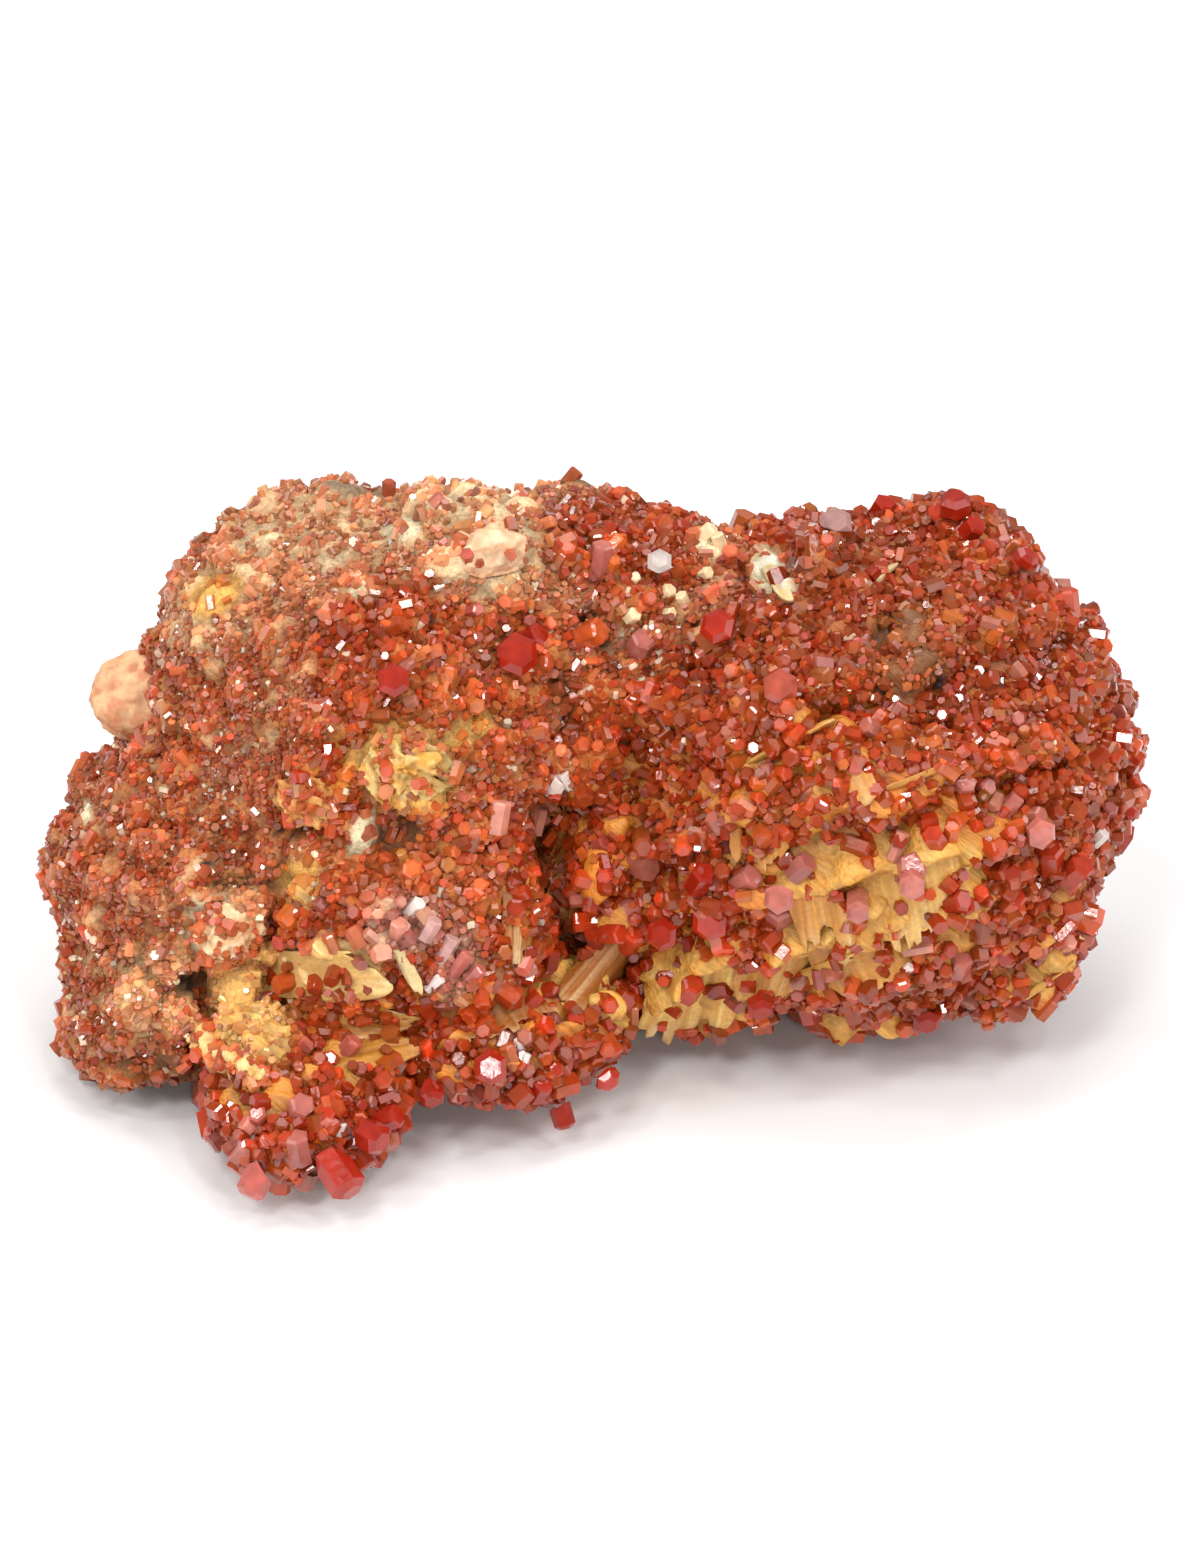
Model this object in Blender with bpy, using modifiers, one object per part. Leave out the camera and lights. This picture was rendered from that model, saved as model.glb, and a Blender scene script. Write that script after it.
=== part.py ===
"""Vanadinite on matrix: a hand specimen of brown rock and golden barite under a crust of red crystals.

Units are metres and +Z is up. The specimen rests on the flat underside of the rock, with the origin in
the middle of it. Its long side runs along X and its crystal-covered front looks towards -Y.
"""
import math

import bmesh
import bpy
from mathutils import Matrix, Vector, noise
from mathutils.bvhtree import BVHTree

MM = 0.001
GAP = 0.3 * MM  # free gap between pieces that touch
CRUST = 1.9 * MM  # depth of the crystal crusts
LIFT = 1.0 * MM  # everything but the rock stays this high over the surface
GROW_ROUNDS = 12  # passes over a point's faces until each has its gap
VOXEL = 0.9 * MM
ROUGHNESS = ((9 * MM, 2.6 * MM), (4 * MM, 1.5 * MM))  # size and height of the bumps on a lump
ROCK_BACK = 13 * MM  # the crust on the rock ends here, towards the back

# Places on the front are laid out on a slanted sheet, in mm across and up it from its middle,
# and each lands on the lump where a line from the eye through that place meets it.
SHEET_TILT = math.radians(30)
SHEET_MIDDLE = Vector((0.9, 0, 21.9)) * MM
EYE_DISTANCE = 500 * MM
TOWARDS_EYE = Vector((0, -math.cos(SHEET_TILT), math.sin(SHEET_TILT)))
SHEET_UP = Vector((0, math.sin(SHEET_TILT), math.cos(SHEET_TILT)))

# Rounded masses: centre and half sizes in mm, and a turn about Y in degrees.
ROCK = (
    ((-17.5, 3, 23), (16.5, 19.5, 18.5), 0),
    ((-18.5, 8, 33.5), (13.5, 11, 8.5), 8),
    ((-27, 5, 27.4), (8.9, 12, 12.4), 0),
    ((-3, 7, 33), (11, 12, 9), 4),
    ((-10.5, 4.5, 37.8), (8.5, 8, 7), 0),
    ((5.5, 6, 32.2), (9, 11, 9), 0),
    ((-30.5, -3, 14), (12.1, 14, 12.8), 0),
    ((-34.5, -8, 7.5), (7.5, 11.5, 7), 0),
    ((-3, 8, 7), (29, 15, 11), 0),
    ((-17, -5, 7), (15, 13, 10.5), 0),
    ((-38.3, -13, 4.5), (4.8, 5.5, 3.8), 0),
    ((-42, -3, 16.4), (2.6, 2.8, 2.2), 0),
)
BARITE = {
    "dome": (
        ((22.5, 1, 22.8), (21.4, 21, 18.6), 0),
        ((30.5, 9, 36.5), (4.5, 5, 4.5), 0),
        ((11, -7, 13), (9, 8.5, 8.5), 0),
        ((24, -1.5, 9.3), (12.5, 12, 6.8), 0),
        ((1.5, 0, 20), (7.5, 10, 13), 0),
        ((33.3, -6, 13.5), (7.2, 9, 7.3), 0),
    ),
    "breast": (((-15, -11, 15), (11.5, 10.5, 9.5), 0),),
    "tip": (((-22.7, -22.5, 5.6), (7.6, 10, 4), 0), ((-7.5, -14.6, 7.8), (9.3, 8.6, 4.6), 0)),
}
FACES = {"rock": 500, "dome": 300, "breast": 110, "tip": 150}
NODULE_FACES = 70
NODULE_ROUGHNESS = 0.4  # share of the lumps' bumps
NODULE_ROOM = 0.9 * MM  # the crust keeps this clear of a nodule's rounded shape

# Windows in the crust, where the bare rock or barite shows: place and half sizes, in mm.
WINDOWS = (
    ((22.6, -9.8), (7.6, 5, 4.6)),  # barite fans on the dome
    ((6.6, -18.9), (5, 5, 4)),  # fibrous barite at the foot of the dome
    ((-24.5, -20.5), (7, 6, 5)),  # ledges over the tip
    ((-30.5, -11), (4.5, 5, 5)),  # crack in the rock
    ((-13.5, 19), (6.5, 5, 3.2)),  # sandy top
)

# Nodules: place, half sizes in mm, and material.
NODULES = {
    "nodule_tan": ((-38.4, 6.4), (5.7, 4.3, 3.9), "calcite"),
    "nodule_cream": ((-30.6, -13), (3.2, 3, 3), "calcite"),
    "calcite_patch": ((-9.2, 18.4), (3.6, 3, 2.6), "calcite"),
    "barite_block_yellow": ((-16.2, 0.4), (4.1, 3.4, 3.6), "barite"),
    "barite_block_tan": ((-23.8, -1.7), (3.2, 3.2, 2.7), "barite"),
}

# Blades of barite: start and end of the edge, the way it points, and how high, thick and bowed it is.
BLADES = {
    "ledge_upper": ((-26.6, -14.4), (-17.6, -16), (0, -1, -0.1), 3.6, 1.4, 0.8),
    "ledge_lower": ((-32.2, -20.9), (-25.8, -25.9), (-0.2, -1, 0.5), 3.2, 1.3, 0.6),
    "hollow": ((-22.3, -22.2), (-15.6, -23.6), (0, -1, 0.3), 2.8, 1.2, 0.7),
    "breast": ((-17.3, -17.7), (-14.7, -14.4), (0.3, -1, 0), 3.2, 1.0, 0.3),
    "crevice": ((-6.9, -5.3), (-7.2, -15), (0.7, -1, 0), 3.2, 1.3, 0.9),
    "diagonal": ((-3.9, -18.7), (1.9, -13), (0.2, -1, -0.3), 2.8, 1.2, 0.6),
    "foot_of_dome": ((3.4, -21.5), (11.4, -16.2), (0.1, -1, -0.4), 3.4, 3.4, 1.0),
    "fan_left": ((16.4, -7.2), (19.6, -13.2), (-0.2, -1, 0), 3.0, 3.2, 0.6),
    "fan_right": ((21.8, -13.2), (29.2, -6.2), (0, -1, -0.1), 3.0, 3.2, 1.2),
    "curved": ((14.7, -17.2), (20.2, -15.2), (0, -1, 0), 3.2, 1.1, 0.7),
    "under_dome": ((19.3, -20.6), (27.6, -21.8), (0, -1, -0.3), 2.8, 1.5, 0.9),
    "low_right": ((35.4, -17.4), (38.4, -14.2), (0.5, -1, -0.4), 3.0, 1.1, 0.4),
    "right": ((38.8, -14), (40.6, -9.6), (0.9, -0.6, -0.3), 3.0, 1.2, 0.4),
    "dome_a": ((12.3, 1.7), (18.9, 4.6), (-0.1, -1, 0.3), 3.2, 1.0, 0.9),
    "dome_b": ((21.4, -1.6), (29.6, 1.7), (0.1, -1, 0.2), 3.2, 1.0, 1.1),
    "dome_c": ((11.4, -3.3), (11.6, -7.4), (-0.4, -1, 0.1), 3.2, 1.0, 0.5),
    "dome_top": ((21.8, 15.8), (24.4, 17.6), (0.1, -0.6, 0.9), 3.0, 0.9, 0.3),
    "cream_plate": ((12.3, 18.8), (15.9, 14), (0.3, -0.8, 0.8), 3.2, 1.2, 0.6),
}
BLADE_ROOT = 1.5 * MM  # how far a blade starts under the bare lump
BLADE_STEPS = 4
BLADE_RAGGED = 0.3  # share of its height that its edge rises and falls
BLADE_WAVES = 9  # bumps along the edge
SLOT_ROOM = 3 * GAP  # added to a blade's length and thickness for its place in the crust

# Single big crystals: place, width and length in mm, and the way each leans off the surface.
CRYSTALS = (
    ((-28.1, -32.9), 2.4, 2.8, (-0.1, -0.3, -0.9)),
    ((-22, -32), 3.0, 3.8, (0.7, -0.4, -0.8)),
    ((-19.4, -29.4), 2.7, 3.0, (0.8, -0.6, 0)),
    ((-9.1, -24), 2.9, 2.6, (0, -0.9, 0.5)),
    ((-3.4, -27), 1.8, 3.0, (0.1, -0.3, -1)),
    ((-14, -25.4), 2.2, 2.8, (0.4, -0.8, -0.3)),
    ((0.3, -24.6), 2.2, 2.2, (0.2, -0.9, 0)),
    ((2.5, -11.2), 2.5, 2.2, (0, -0.9, 0.5)),
    ((5.3, -12.9), 2.8, 2.4, (0.2, -0.9, 0.3)),
    ((14.8, -10), 2.6, 2.2, (0, -0.9, 0.4)),
    ((13.1, -18.5), 2.4, 2.4, (0.1, -0.9, -0.3)),
    ((-1, -13.4), 2.4, 2.2, (0, -0.9, 0.4)),
    ((19.3, 20.4), 2.9, 2.4, (0, -1.2, 0.6)),
    ((4.9, 17.3), 2.2, 2.2, (0, -1, 0.6)),
    ((9.9, 12), 3.0, 2.6, (0, -0.8, 0.5)),
    ((29.2, 21.6), 2.8, 2.6, (0.1, -0.1, 1)),
    ((34.7, 17.4), 2.2, 2.2, (0.6, -0.1, 0.7)),
    ((-17, 7.7), 2.8, 2.2, (0.2, -0.9, 0.5)),
    ((-7, 9.9), 3.6, 2.6, (0.2, -0.9, 0.5)),
    ((26.8, -19.6), 2.6, 2.4, (0, -1, 0.1)),
    ((32.1, -20.1), 1.0, 2.6, (0.1, -0.3, -1)),
    ((14.8, 7.2), 3.0, 2.4, (0.2, -0.9, 0.4)),
    ((36, -4.6), 2.6, 2.2, (0.3, -0.9, 0)),
)
# The same for those that stand in a window, on bare barite.
WINDOW_CRYSTALS = (
    ((4.8, -18.5), 4.0, 4.2, (0.1, -1, 0.4)),
    ((9.6, -11.2), 3.1, 4.0, (0, -1, 0.4)),
    ((21.2, -9.9), 2.0, 5.4, (0, -1, 0.3)),
    ((25.5, -7.9), 2.2, 5.4, (0, -1, 0.3)),
)
CRYSTAL_ROOT = 0.9 * MM
CRYSTAL_LEAN = 1.5  # how much its own direction counts against the surface's slope
CHAMFER = 0.16  # of the width
MERGE = 0.001 * MM  # points closer than this are one
FAR = 100 * MM  # well outside the specimen

COLOURS = {  # colour and roughness
    "rock": ((0.30, 0.17, 0.09), 0.9),
    "barite": ((0.72, 0.42, 0.12), 0.45),
    "vanadinite": ((0.45, 0.06, 0.02), 0.2),
    "calcite": ((0.80, 0.66, 0.45), 0.6),
}


def clear():
    for thing in list(bpy.data.objects):
        bpy.data.objects.remove(thing)
    for old in list(bpy.data.collections):
        bpy.data.collections.remove(old)


def group(name):
    made = bpy.data.collections.new(name)
    bpy.context.scene.collection.children.link(made)
    return made


def material(name):
    made = bpy.data.materials.get(name)
    if made is None:
        made = bpy.data.materials.new(name)
        made.use_nodes = True
        shader = made.node_tree.nodes["Principled BSDF"]
        colour, roughness = COLOURS[name]
        shader.inputs["Base Color"].default_value = (*colour, 1)
        shader.inputs["Roughness"].default_value = roughness
        shader.inputs["Metallic"].default_value = 0
    return made


def put(name, shape):
    """A new object holding the bmesh shape, which is freed."""
    mesh = bpy.data.meshes.new(name)
    shape.to_mesh(mesh)
    shape.free()
    thing = bpy.data.objects.new(name, mesh)
    bpy.context.scene.collection.objects.link(thing)
    return thing


def settle(thing):
    """Applies the thing's modifiers."""
    bpy.context.view_layer.update()
    done = bpy.data.meshes.new_from_object(thing.evaluated_get(bpy.context.evaluated_depsgraph_get()))
    thing.modifiers.clear()
    thing.data = done


def whole(thing):
    """Keeps the biggest closed piece of the thing, and turns its faces outwards."""
    shape = bmesh.new()
    shape.from_mesh(thing.data)
    bmesh.ops.remove_doubles(shape, verts=shape.verts, dist=MERGE)
    bmesh.ops.triangulate(shape, faces=shape.faces)
    left = set(shape.verts)
    pieces = []
    while left:
        piece = set()
        edge_of_piece = [left.pop()]
        while edge_of_piece:
            point = edge_of_piece.pop()
            piece.add(point)
            for edge in point.link_edges:
                other = edge.other_vert(point)
                if other in left:
                    left.remove(other)
                    edge_of_piece.append(other)
        pieces.append(piece)
    pieces.sort(key=len)
    crumbs = [point for piece in pieces[:-1] for point in piece]
    bmesh.ops.delete(shape, geom=crumbs, context="VERTS")
    bmesh.ops.recalc_face_normals(shape, faces=shape.faces)
    shape.to_mesh(thing.data)
    shape.free()


def mass(centre, half, turn, grow, detail=4):
    """One ellipsoid as a bmesh, grown by grow metres all round."""
    ball = bmesh.new()
    bmesh.ops.create_icosphere(ball, subdivisions=detail, radius=1)
    size = Matrix.Diagonal([h * MM + grow for h in half] + [1])
    place = Matrix.Translation(Vector(centre) * MM) @ Matrix.Rotation(math.radians(turn), 4, "Y")
    ball.transform(place @ size)
    return ball


def lump(name, masses, faces, grow=0.0, roughness=1.0):
    """The masses melted into one rough closed lump."""
    both = bmesh.new()
    holder = bpy.data.meshes.new(name)
    for one in masses:
        ball = mass(*one, grow)
        ball.to_mesh(holder)
        ball.free()
        both.from_mesh(holder)
    thing = put(name, both)
    melt = thing.modifiers.new("melt", "REMESH")
    melt.mode = "VOXEL"
    melt.voxel_size = VOXEL
    for size, height in ROUGHNESS:
        rough = thing.modifiers.new("rough", "DISPLACE")
        rough.texture = bpy.data.textures.new("rough", "CLOUDS")
        rough.texture.noise_scale = size
        rough.texture_coords = "GLOBAL"
        rough.strength = height * roughness
        rough.mid_level = 0.5
    settle(thing)
    thin = thing.modifiers.new("thin", "DECIMATE")
    thin.ratio = faces / (2 * len(thing.data.polygons))
    settle(thing)
    return thing


def grown(thing):
    """A copy with each face moved out by the gap, to cut its neighbours with."""
    shape = bmesh.new()
    shape.from_mesh(thing.data)
    shape.normal_update()
    moves = []
    for point in shape.verts:
        move = point.normal * GAP
        for _ in range(GROW_ROUNDS):
            for face in point.link_faces:
                short = GAP - move.dot(face.normal)
                if short > 0:
                    move += face.normal * short
        moves.append(move)
    for point, move in zip(shape.verts, moves):
        point.co += move
    return put(thing.name + "_grown", shape)


def box(low, high):
    """A box between two corners, to cut with."""
    shape = bmesh.new()
    bmesh.ops.create_cube(shape, size=1)
    low, high = Vector(low), Vector(high)
    shape.transform(Matrix.Translation((low + high) / 2) @ Matrix.Diagonal([*(high - low), 1]))
    return put("box", shape)


def cut(thing, cutters):
    """Takes the cutters away from the thing."""
    for cutter in cutters:
        bite = thing.modifiers.new("bite", "BOOLEAN")
        bite.operation = "DIFFERENCE"
        bite.object = cutter
        settle(thing)
    whole(thing)


def ground(height):
    """A slab with its top at the height, to cut off what is lower."""
    return box((-FAR, -FAR, -FAR), (FAR, FAR, height))


def finish(thing, name, slot, collection):
    thing.name = name
    thing.data.name = name
    thing.data.materials.clear()
    thing.data.materials.append(material(slot))
    for old in thing.users_collection:
        old.objects.unlink(thing)
    collection.objects.link(thing)


def copy(thing):
    twin = bpy.data.objects.new(thing.name, thing.data.copy())
    bpy.context.scene.collection.objects.link(twin)
    return twin


def surface(things):
    """What a line meets first among the things: a search tree over all their faces."""
    shape = bmesh.new()
    for thing in things:
        shape.from_mesh(thing.data)
    tree = BVHTree.FromBMesh(shape)
    shape.free()
    return tree


def land(place, tree):
    """Where a place on the slanted sheet lands on the tree's surface, and the surface's slope there."""
    on_sheet = SHEET_MIDDLE + Vector((place[0] * MM, 0, 0)) + SHEET_UP * place[1] * MM
    eye = SHEET_MIDDLE + TOWARDS_EYE * EYE_DISTANCE
    spot, slope, _, _ = tree.ray_cast(eye, (on_sheet - eye).normalized())
    if spot is None:
        spot, slope, _, _ = tree.find_nearest(on_sheet)
    return spot, slope


def blade(name, start, end, out, height, thick, bow, tree):
    """A bowed plate with a ragged edge, rooted under the surface."""
    first, last = land(start, tree)[0], land(end, tree)[0]
    along = last - first
    up = Vector(out).normalized()
    up = (up - up.project(along)).normalized()
    across = along.normalized().cross(up)
    shape = bmesh.new()
    bmesh.ops.create_grid(shape, x_segments=BLADE_STEPS, y_segments=2, size=1)
    for point in shape.verts:
        share, rise = (point.co.x + 1) / 2, (point.co.y + 1) / 2
        top = height * MM * (1 + BLADE_RAGGED * noise.noise((share * BLADE_WAVES, height, thick)))
        lift = up * (rise * (top + BLADE_ROOT) - BLADE_ROOT)
        arch = across * bow * MM * (4 * share * (1 - share) - 0.5)
        point.co = first + along * share + lift + arch
    plate = put(name, shape)
    thicken = plate.modifiers.new("thicken", "SOLIDIFY")
    thicken.thickness = thick * MM
    thicken.offset = 0
    settle(plate)
    whole(plate)
    return plate


def slot(start, end, out, height, thick, bow, tree):
    """A straight box around a blade of the same sizes, to cut its place in the crust."""
    first, last = land(start, tree)[0], land(end, tree)[0]
    along = last - first
    up = Vector(out).normalized()
    up = (up - up.project(along)).normalized()
    across = along.normalized().cross(up)
    turn = Matrix((along.normalized(), up, across)).transposed().to_4x4()
    length = along.length + thick * MM / 2 + SLOT_ROOM
    reach = 2 * height * MM * (1 + BLADE_RAGGED)
    depth = (thick + bow) * MM + SLOT_ROOM
    shape = bmesh.new()
    bmesh.ops.create_cube(shape, size=1)
    size = Matrix.Diagonal((length, reach, depth, 1))
    shape.transform(Matrix.Translation((first + last) / 2) @ turn @ size)
    return put("slot", shape)


def crystal(name, place, width, length, lean, tree):
    """A six-sided prism with a chamfered end, rooted under the surface and leaning off it."""
    spot, slope = land(place, tree)
    axis = (slope + Vector(lean) * CRYSTAL_LEAN).normalized()
    shape = bmesh.new()
    bmesh.ops.create_cone(
        shape, cap_ends=True, segments=6, radius1=width * MM / 2, radius2=width * MM / 2, depth=length * MM
    )
    end = [edge for edge in shape.edges if min(point.co.z for point in edge.verts) > 0]
    bmesh.ops.bevel(shape, geom=end, offset=CHAMFER * width * MM, segments=1, affect="EDGES")
    middle = spot + axis * (length * MM / 2 - CRYSTAL_ROOT)
    turn = axis.to_track_quat("Z", "Y").to_matrix().to_4x4()
    shape.transform(Matrix.Translation(middle) @ turn)
    return put(name, shape)


def near(thing, cutters):
    """The cutters whose boxes meet the thing's box."""
    found = []
    low, high = bounds(thing)
    for cutter in cutters:
        cutter_low, cutter_high = bounds(cutter)
        if all(cutter_low[i] < high[i] and cutter_high[i] > low[i] for i in range(3)):
            found.append(cutter)
    return found


def bounds(thing):
    places = [point.co for point in thing.data.vertices]
    return [[pick(place[i] for place in places) for i in range(3)] for pick in (min, max)]


class Specimen:
    """Makes the pieces in order, from the rock out, each cut to fit what is already there."""

    def __init__(self):
        self.parts = group("vanadinite_on_matrix")
        self.low = ground(LIFT)
        self.bare = {"rock": lump("rock", ROCK, FACES["rock"])}
        self.crusted = {"rock": lump("rock", ROCK, FACES["rock"], CRUST)}
        for name, masses in BARITE.items():
            self.bare[name] = lump(name, masses, FACES[name])
            self.crusted[name] = lump(name, masses, FACES[name], CRUST)
        self.around_bare = {name: grown(thing) for name, thing in self.bare.items()}
        self.around_crusted = {name: grown(thing) for name, thing in self.crusted.items()}
        self.standing = []  # grown copies of the blades, nodules and single crystals
        self.openings = []  # what is cut from the crusts for them
        self.bare_surface = surface(self.bare.values())

    def add(self, thing, name, slot, cutters):
        """Cuts a piece that stands on the lump, and keeps it clear of the pieces after it."""
        around = grown(thing)
        cut(thing, near(thing, cutters + self.standing + [self.low]))
        self.standing.append(around)
        finish(thing, name, slot, self.parts)

    def bodies(self):
        for name, thing in self.bare.items():
            body = copy(thing)
            if name == "rock":
                cut(body, [ground(0)])
                finish(body, "matrix_rock", "rock", self.parts)
            else:
                names = list(self.bare)
                cut(body, [self.around_bare[n] for n in names[: names.index(name)]] + [self.low])
                finish(body, "barite_" + name, "barite", self.parts)

    def nodules(self):
        for name, (place, half, slot) in NODULES.items():
            spot = land(place, self.bare_surface)[0] / MM
            self.openings.append(put("opening", mass(spot, half, 0, NODULE_ROOM, detail=2)))
            nodule = lump(name, ((spot, half, 0),), NODULE_FACES, roughness=NODULE_ROUGHNESS)
            self.add(nodule, name, slot, list(self.around_bare.values()))

    def blades(self):
        for name, sizes in BLADES.items():
            self.openings.append(slot(*sizes, self.bare_surface))
            plate = blade(name, *sizes, self.bare_surface)
            self.add(plate, "barite_blade_" + name, "barite", list(self.around_bare.values()))

    def window_crystals(self):
        for number, sizes in enumerate(WINDOW_CRYSTALS, 1):
            prism = crystal("crystal", *sizes, self.bare_surface)
            self.openings.append(grown(prism))
            self.add(prism, f"vanadinite_bare_{number:02d}", "vanadinite", list(self.around_bare.values()))

    def crusts(self):
        for place, half in WINDOWS:
            spot = land(place, self.bare_surface)[0] / MM
            self.openings.append(put("window", mass(spot, half, 0, 0, detail=2)))
        names = list(self.crusted)
        for name, thing in self.crusted.items():
            body = copy(thing)
            cutters = list(self.around_bare.values())
            cutters += [self.around_crusted[n] for n in names[: names.index(name)]] + [self.low]
            if name == "rock":
                cutters.append(box((-FAR, ROCK_BACK, -FAR), (FAR, FAR, FAR)))
            cut(body, cutters + near(body, self.openings))
            finish(body, "druse_" + name, "vanadinite", self.parts)

    def single_crystals(self):
        crusted_surface = surface(self.crusted.values())
        for number, sizes in enumerate(CRYSTALS, 1):
            prism = crystal("crystal", *sizes, crusted_surface)
            self.add(prism, f"vanadinite_{number:02d}", "vanadinite", list(self.around_crusted.values()))

    def tidy(self):
        """Removes what was only there to cut with."""
        for thing in list(bpy.data.objects):
            if thing.name not in self.parts.objects:
                bpy.data.objects.remove(thing)


clear()
specimen = Specimen()
specimen.bodies()
specimen.nodules()
specimen.blades()
specimen.window_crystals()
specimen.crusts()
specimen.single_crystals()
specimen.tidy()
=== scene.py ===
"""Looks of the vanadinite specimen: rough rock and fibrous barite under thousands of small crystals.

Lengths here are in millimetres until a mesh is made. Places on the front are named by where they
lie in a 1200 x 1551 picture taken from the camera, and each lands on the surface the camera sees there.
"""
import itertools
import math

import bpy
import numpy as np
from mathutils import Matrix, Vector, noise
from mathutils.bvhtree import BVHTree


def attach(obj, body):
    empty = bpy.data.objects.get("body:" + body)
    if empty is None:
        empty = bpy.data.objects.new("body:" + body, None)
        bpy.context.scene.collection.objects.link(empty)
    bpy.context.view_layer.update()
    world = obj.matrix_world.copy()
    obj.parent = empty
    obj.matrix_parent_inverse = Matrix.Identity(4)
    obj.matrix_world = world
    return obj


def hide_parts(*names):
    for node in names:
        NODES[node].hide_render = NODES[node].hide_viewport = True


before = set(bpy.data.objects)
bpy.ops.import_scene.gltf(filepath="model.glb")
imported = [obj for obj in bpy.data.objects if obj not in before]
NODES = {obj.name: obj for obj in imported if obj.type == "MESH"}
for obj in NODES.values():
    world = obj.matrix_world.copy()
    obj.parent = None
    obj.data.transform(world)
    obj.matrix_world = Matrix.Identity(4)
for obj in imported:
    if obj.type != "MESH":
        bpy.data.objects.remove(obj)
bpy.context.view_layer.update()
MM = 0.001
SEED = 11
RANDOM = np.random.RandomState(SEED)
noise.seed_set(SEED)

# ---------------------------------------------------------------- the camera and its picture
PICTURE = (1200, 1551)
VIEW_TILT = math.radians(30)
AIM = np.array((0.9, 0, 21.9))
EYE_DISTANCE = 500.0
FOCAL_PIXELS = 6075.0
SENSOR = 36.0
PIXELS_PER_MM = 12.15  # at the aim
TO_EYE = np.array((0, -math.cos(VIEW_TILT), math.sin(VIEW_TILT)))
RIGHT = np.array((1.0, 0, 0))
UP = np.array((0, math.sin(VIEW_TILT), math.cos(VIEW_TILT)))
EYE = AIM + TO_EYE * EYE_DISTANCE


def in_picture(points):
    """Where points land in the picture, in pixels from its top left corner."""
    seen = points - EYE
    scale = FOCAL_PIXELS / -(seen @ TO_EYE)
    return np.stack((PICTURE[0] / 2 + seen @ RIGHT * scale, PICTURE[1] / 2 - seen @ UP * scale), 1)


def line_of_sight(px, py):
    """The direction from the eye through a pixel."""
    across, up = (px - PICTURE[0] / 2) / FOCAL_PIXELS, (PICTURE[1] / 2 - py) / FOCAL_PIXELS
    way = -TO_EYE + RIGHT * across + UP * up
    return way / np.linalg.norm(way)


def linear(colour):
    """An sRGB colour of 0 to 255 as linear light."""
    share = np.asarray(colour, float) / 255
    return np.where(share <= 0.04045, share / 12.92, ((share + 0.055) / 1.055) ** 2.4)


def unit(vectors):
    return vectors / np.maximum(np.linalg.norm(vectors, axis=-1, keepdims=True), 1e-9)


def step(low, high, value):
    """Goes smoothly from 0 at low to 1 at high."""
    share = np.clip((value - low) / (high - low), 0, 1)
    return share * share * (3 - 2 * share)


def rumple(points, size, octaves=1):
    """Smooth noise of about -1 to 1 with bumps of the size."""
    return np.array([noise.fractal(Vector(p) / size, 1.0, 2.0, octaves) for p in points])


def streaks(points, way, size, long):
    """Noise of about -1 to 1 with bumps of the size, drawn out long along the way."""
    way = unit(way)
    along = points @ way
    return rumple(points - np.outer(along * (1 - size / long), way), size, 2)


CHIP_SCRAMBLE = 7.3  # spreads neighbouring chips over the noise, so that each tilts its own way


def fractures(points, size):
    """Heights of a broken face of flat tilted chips, in mm."""
    heights = []
    for p in points:
        spot = Vector(p) / size
        middle = noise.voronoi(spot)[1][0]
        heights.append((spot - middle).dot(noise.noise_vector(middle * CHIP_SCRAMBLE)))
    return size * np.array(heights)


KNOB_EDGE = 0.45  # how far a knob's rounded edge reaches in from a joint, as a share of its size


def knobs(points, size):
    """Rounded knobs of the size, 1 on their tops and 0 in the joints between them."""
    near = np.array([noise.voronoi(Vector(p) / size)[0][:2] for p in points])
    return step(0.0, KNOB_EDGE, near[:, 1] - near[:, 0])


# ---------------------------------------------------------------- what grows where
# Each kind of ground: its colour, how much of it crystals cover, their width, their colour, and if they
# keep to islands, how much.
GROUNDS = {
    "fine": ((184, 112, 60), 0.82, 0.56, (172, 76, 39)),
    "middling": ((178, 100, 46), 0.9, 0.85, (168, 64, 26)),
    "ruddy": ((196, 118, 58), 0.88, 0.86, (188, 84, 42)),
    "coarse": ((184, 100, 38), 0.86, 0.94, (163, 62, 26)),
    "big": ((176, 92, 32), 0.94, 1.2, (160, 52, 18)),
    "sandy": ((224, 180, 132), 0.62, 0.55, (206, 132, 88)),
    "pale": ((232, 198, 152), 0.3, 0.64, (210, 136, 90)),
    "gold": ((216, 156, 68), 0.0, 1.1, (172, 60, 22)),
    "dotted": ((206, 136, 54), 1.0, 1.1, (172, 60, 22), 0.85),
    "amber": ((212, 126, 38), 0.78, 1.05, (168, 60, 20), 0.4),
    "cream": ((232, 212, 170), 0.06, 0.7, (206, 120, 80)),
    "yellow": ((222, 166, 84), 0.2, 0.6, (206, 120, 56)),
    # The rock's own brown on the lower left lobe, and painted shade where its patches lie in hollows.
    "brown": ((132, 80, 40), 0.5, 0.7, (166, 82, 44)),
    "rock": ((132, 110, 84), 0.04, 0.7, (160, 76, 44)),
    "ochre": ((172, 124, 72), 0.08, 0.7, (176, 84, 44)),
    "chalk": ((206, 188, 160), 0.03, 0.7, (176, 84, 44)),
    # Painted shadow: near black in the holes and deepest hollows.
    "hole_shadow": ((56, 32, 18), 0.0, 0.7, (110, 40, 20)),
    "lilac": ((200, 150, 114), 0.8, 0.9, (190, 122, 98)),
    "crumbly": ((212, 164, 112), 0.8, 0.5, (204, 132, 86)),
    "crumbs": ((236, 180, 100), 0.5, 0.5, (230, 172, 100)),
    "ledge": ((236, 192, 122), 0.04, 0.8, (206, 110, 66)),
}

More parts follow.
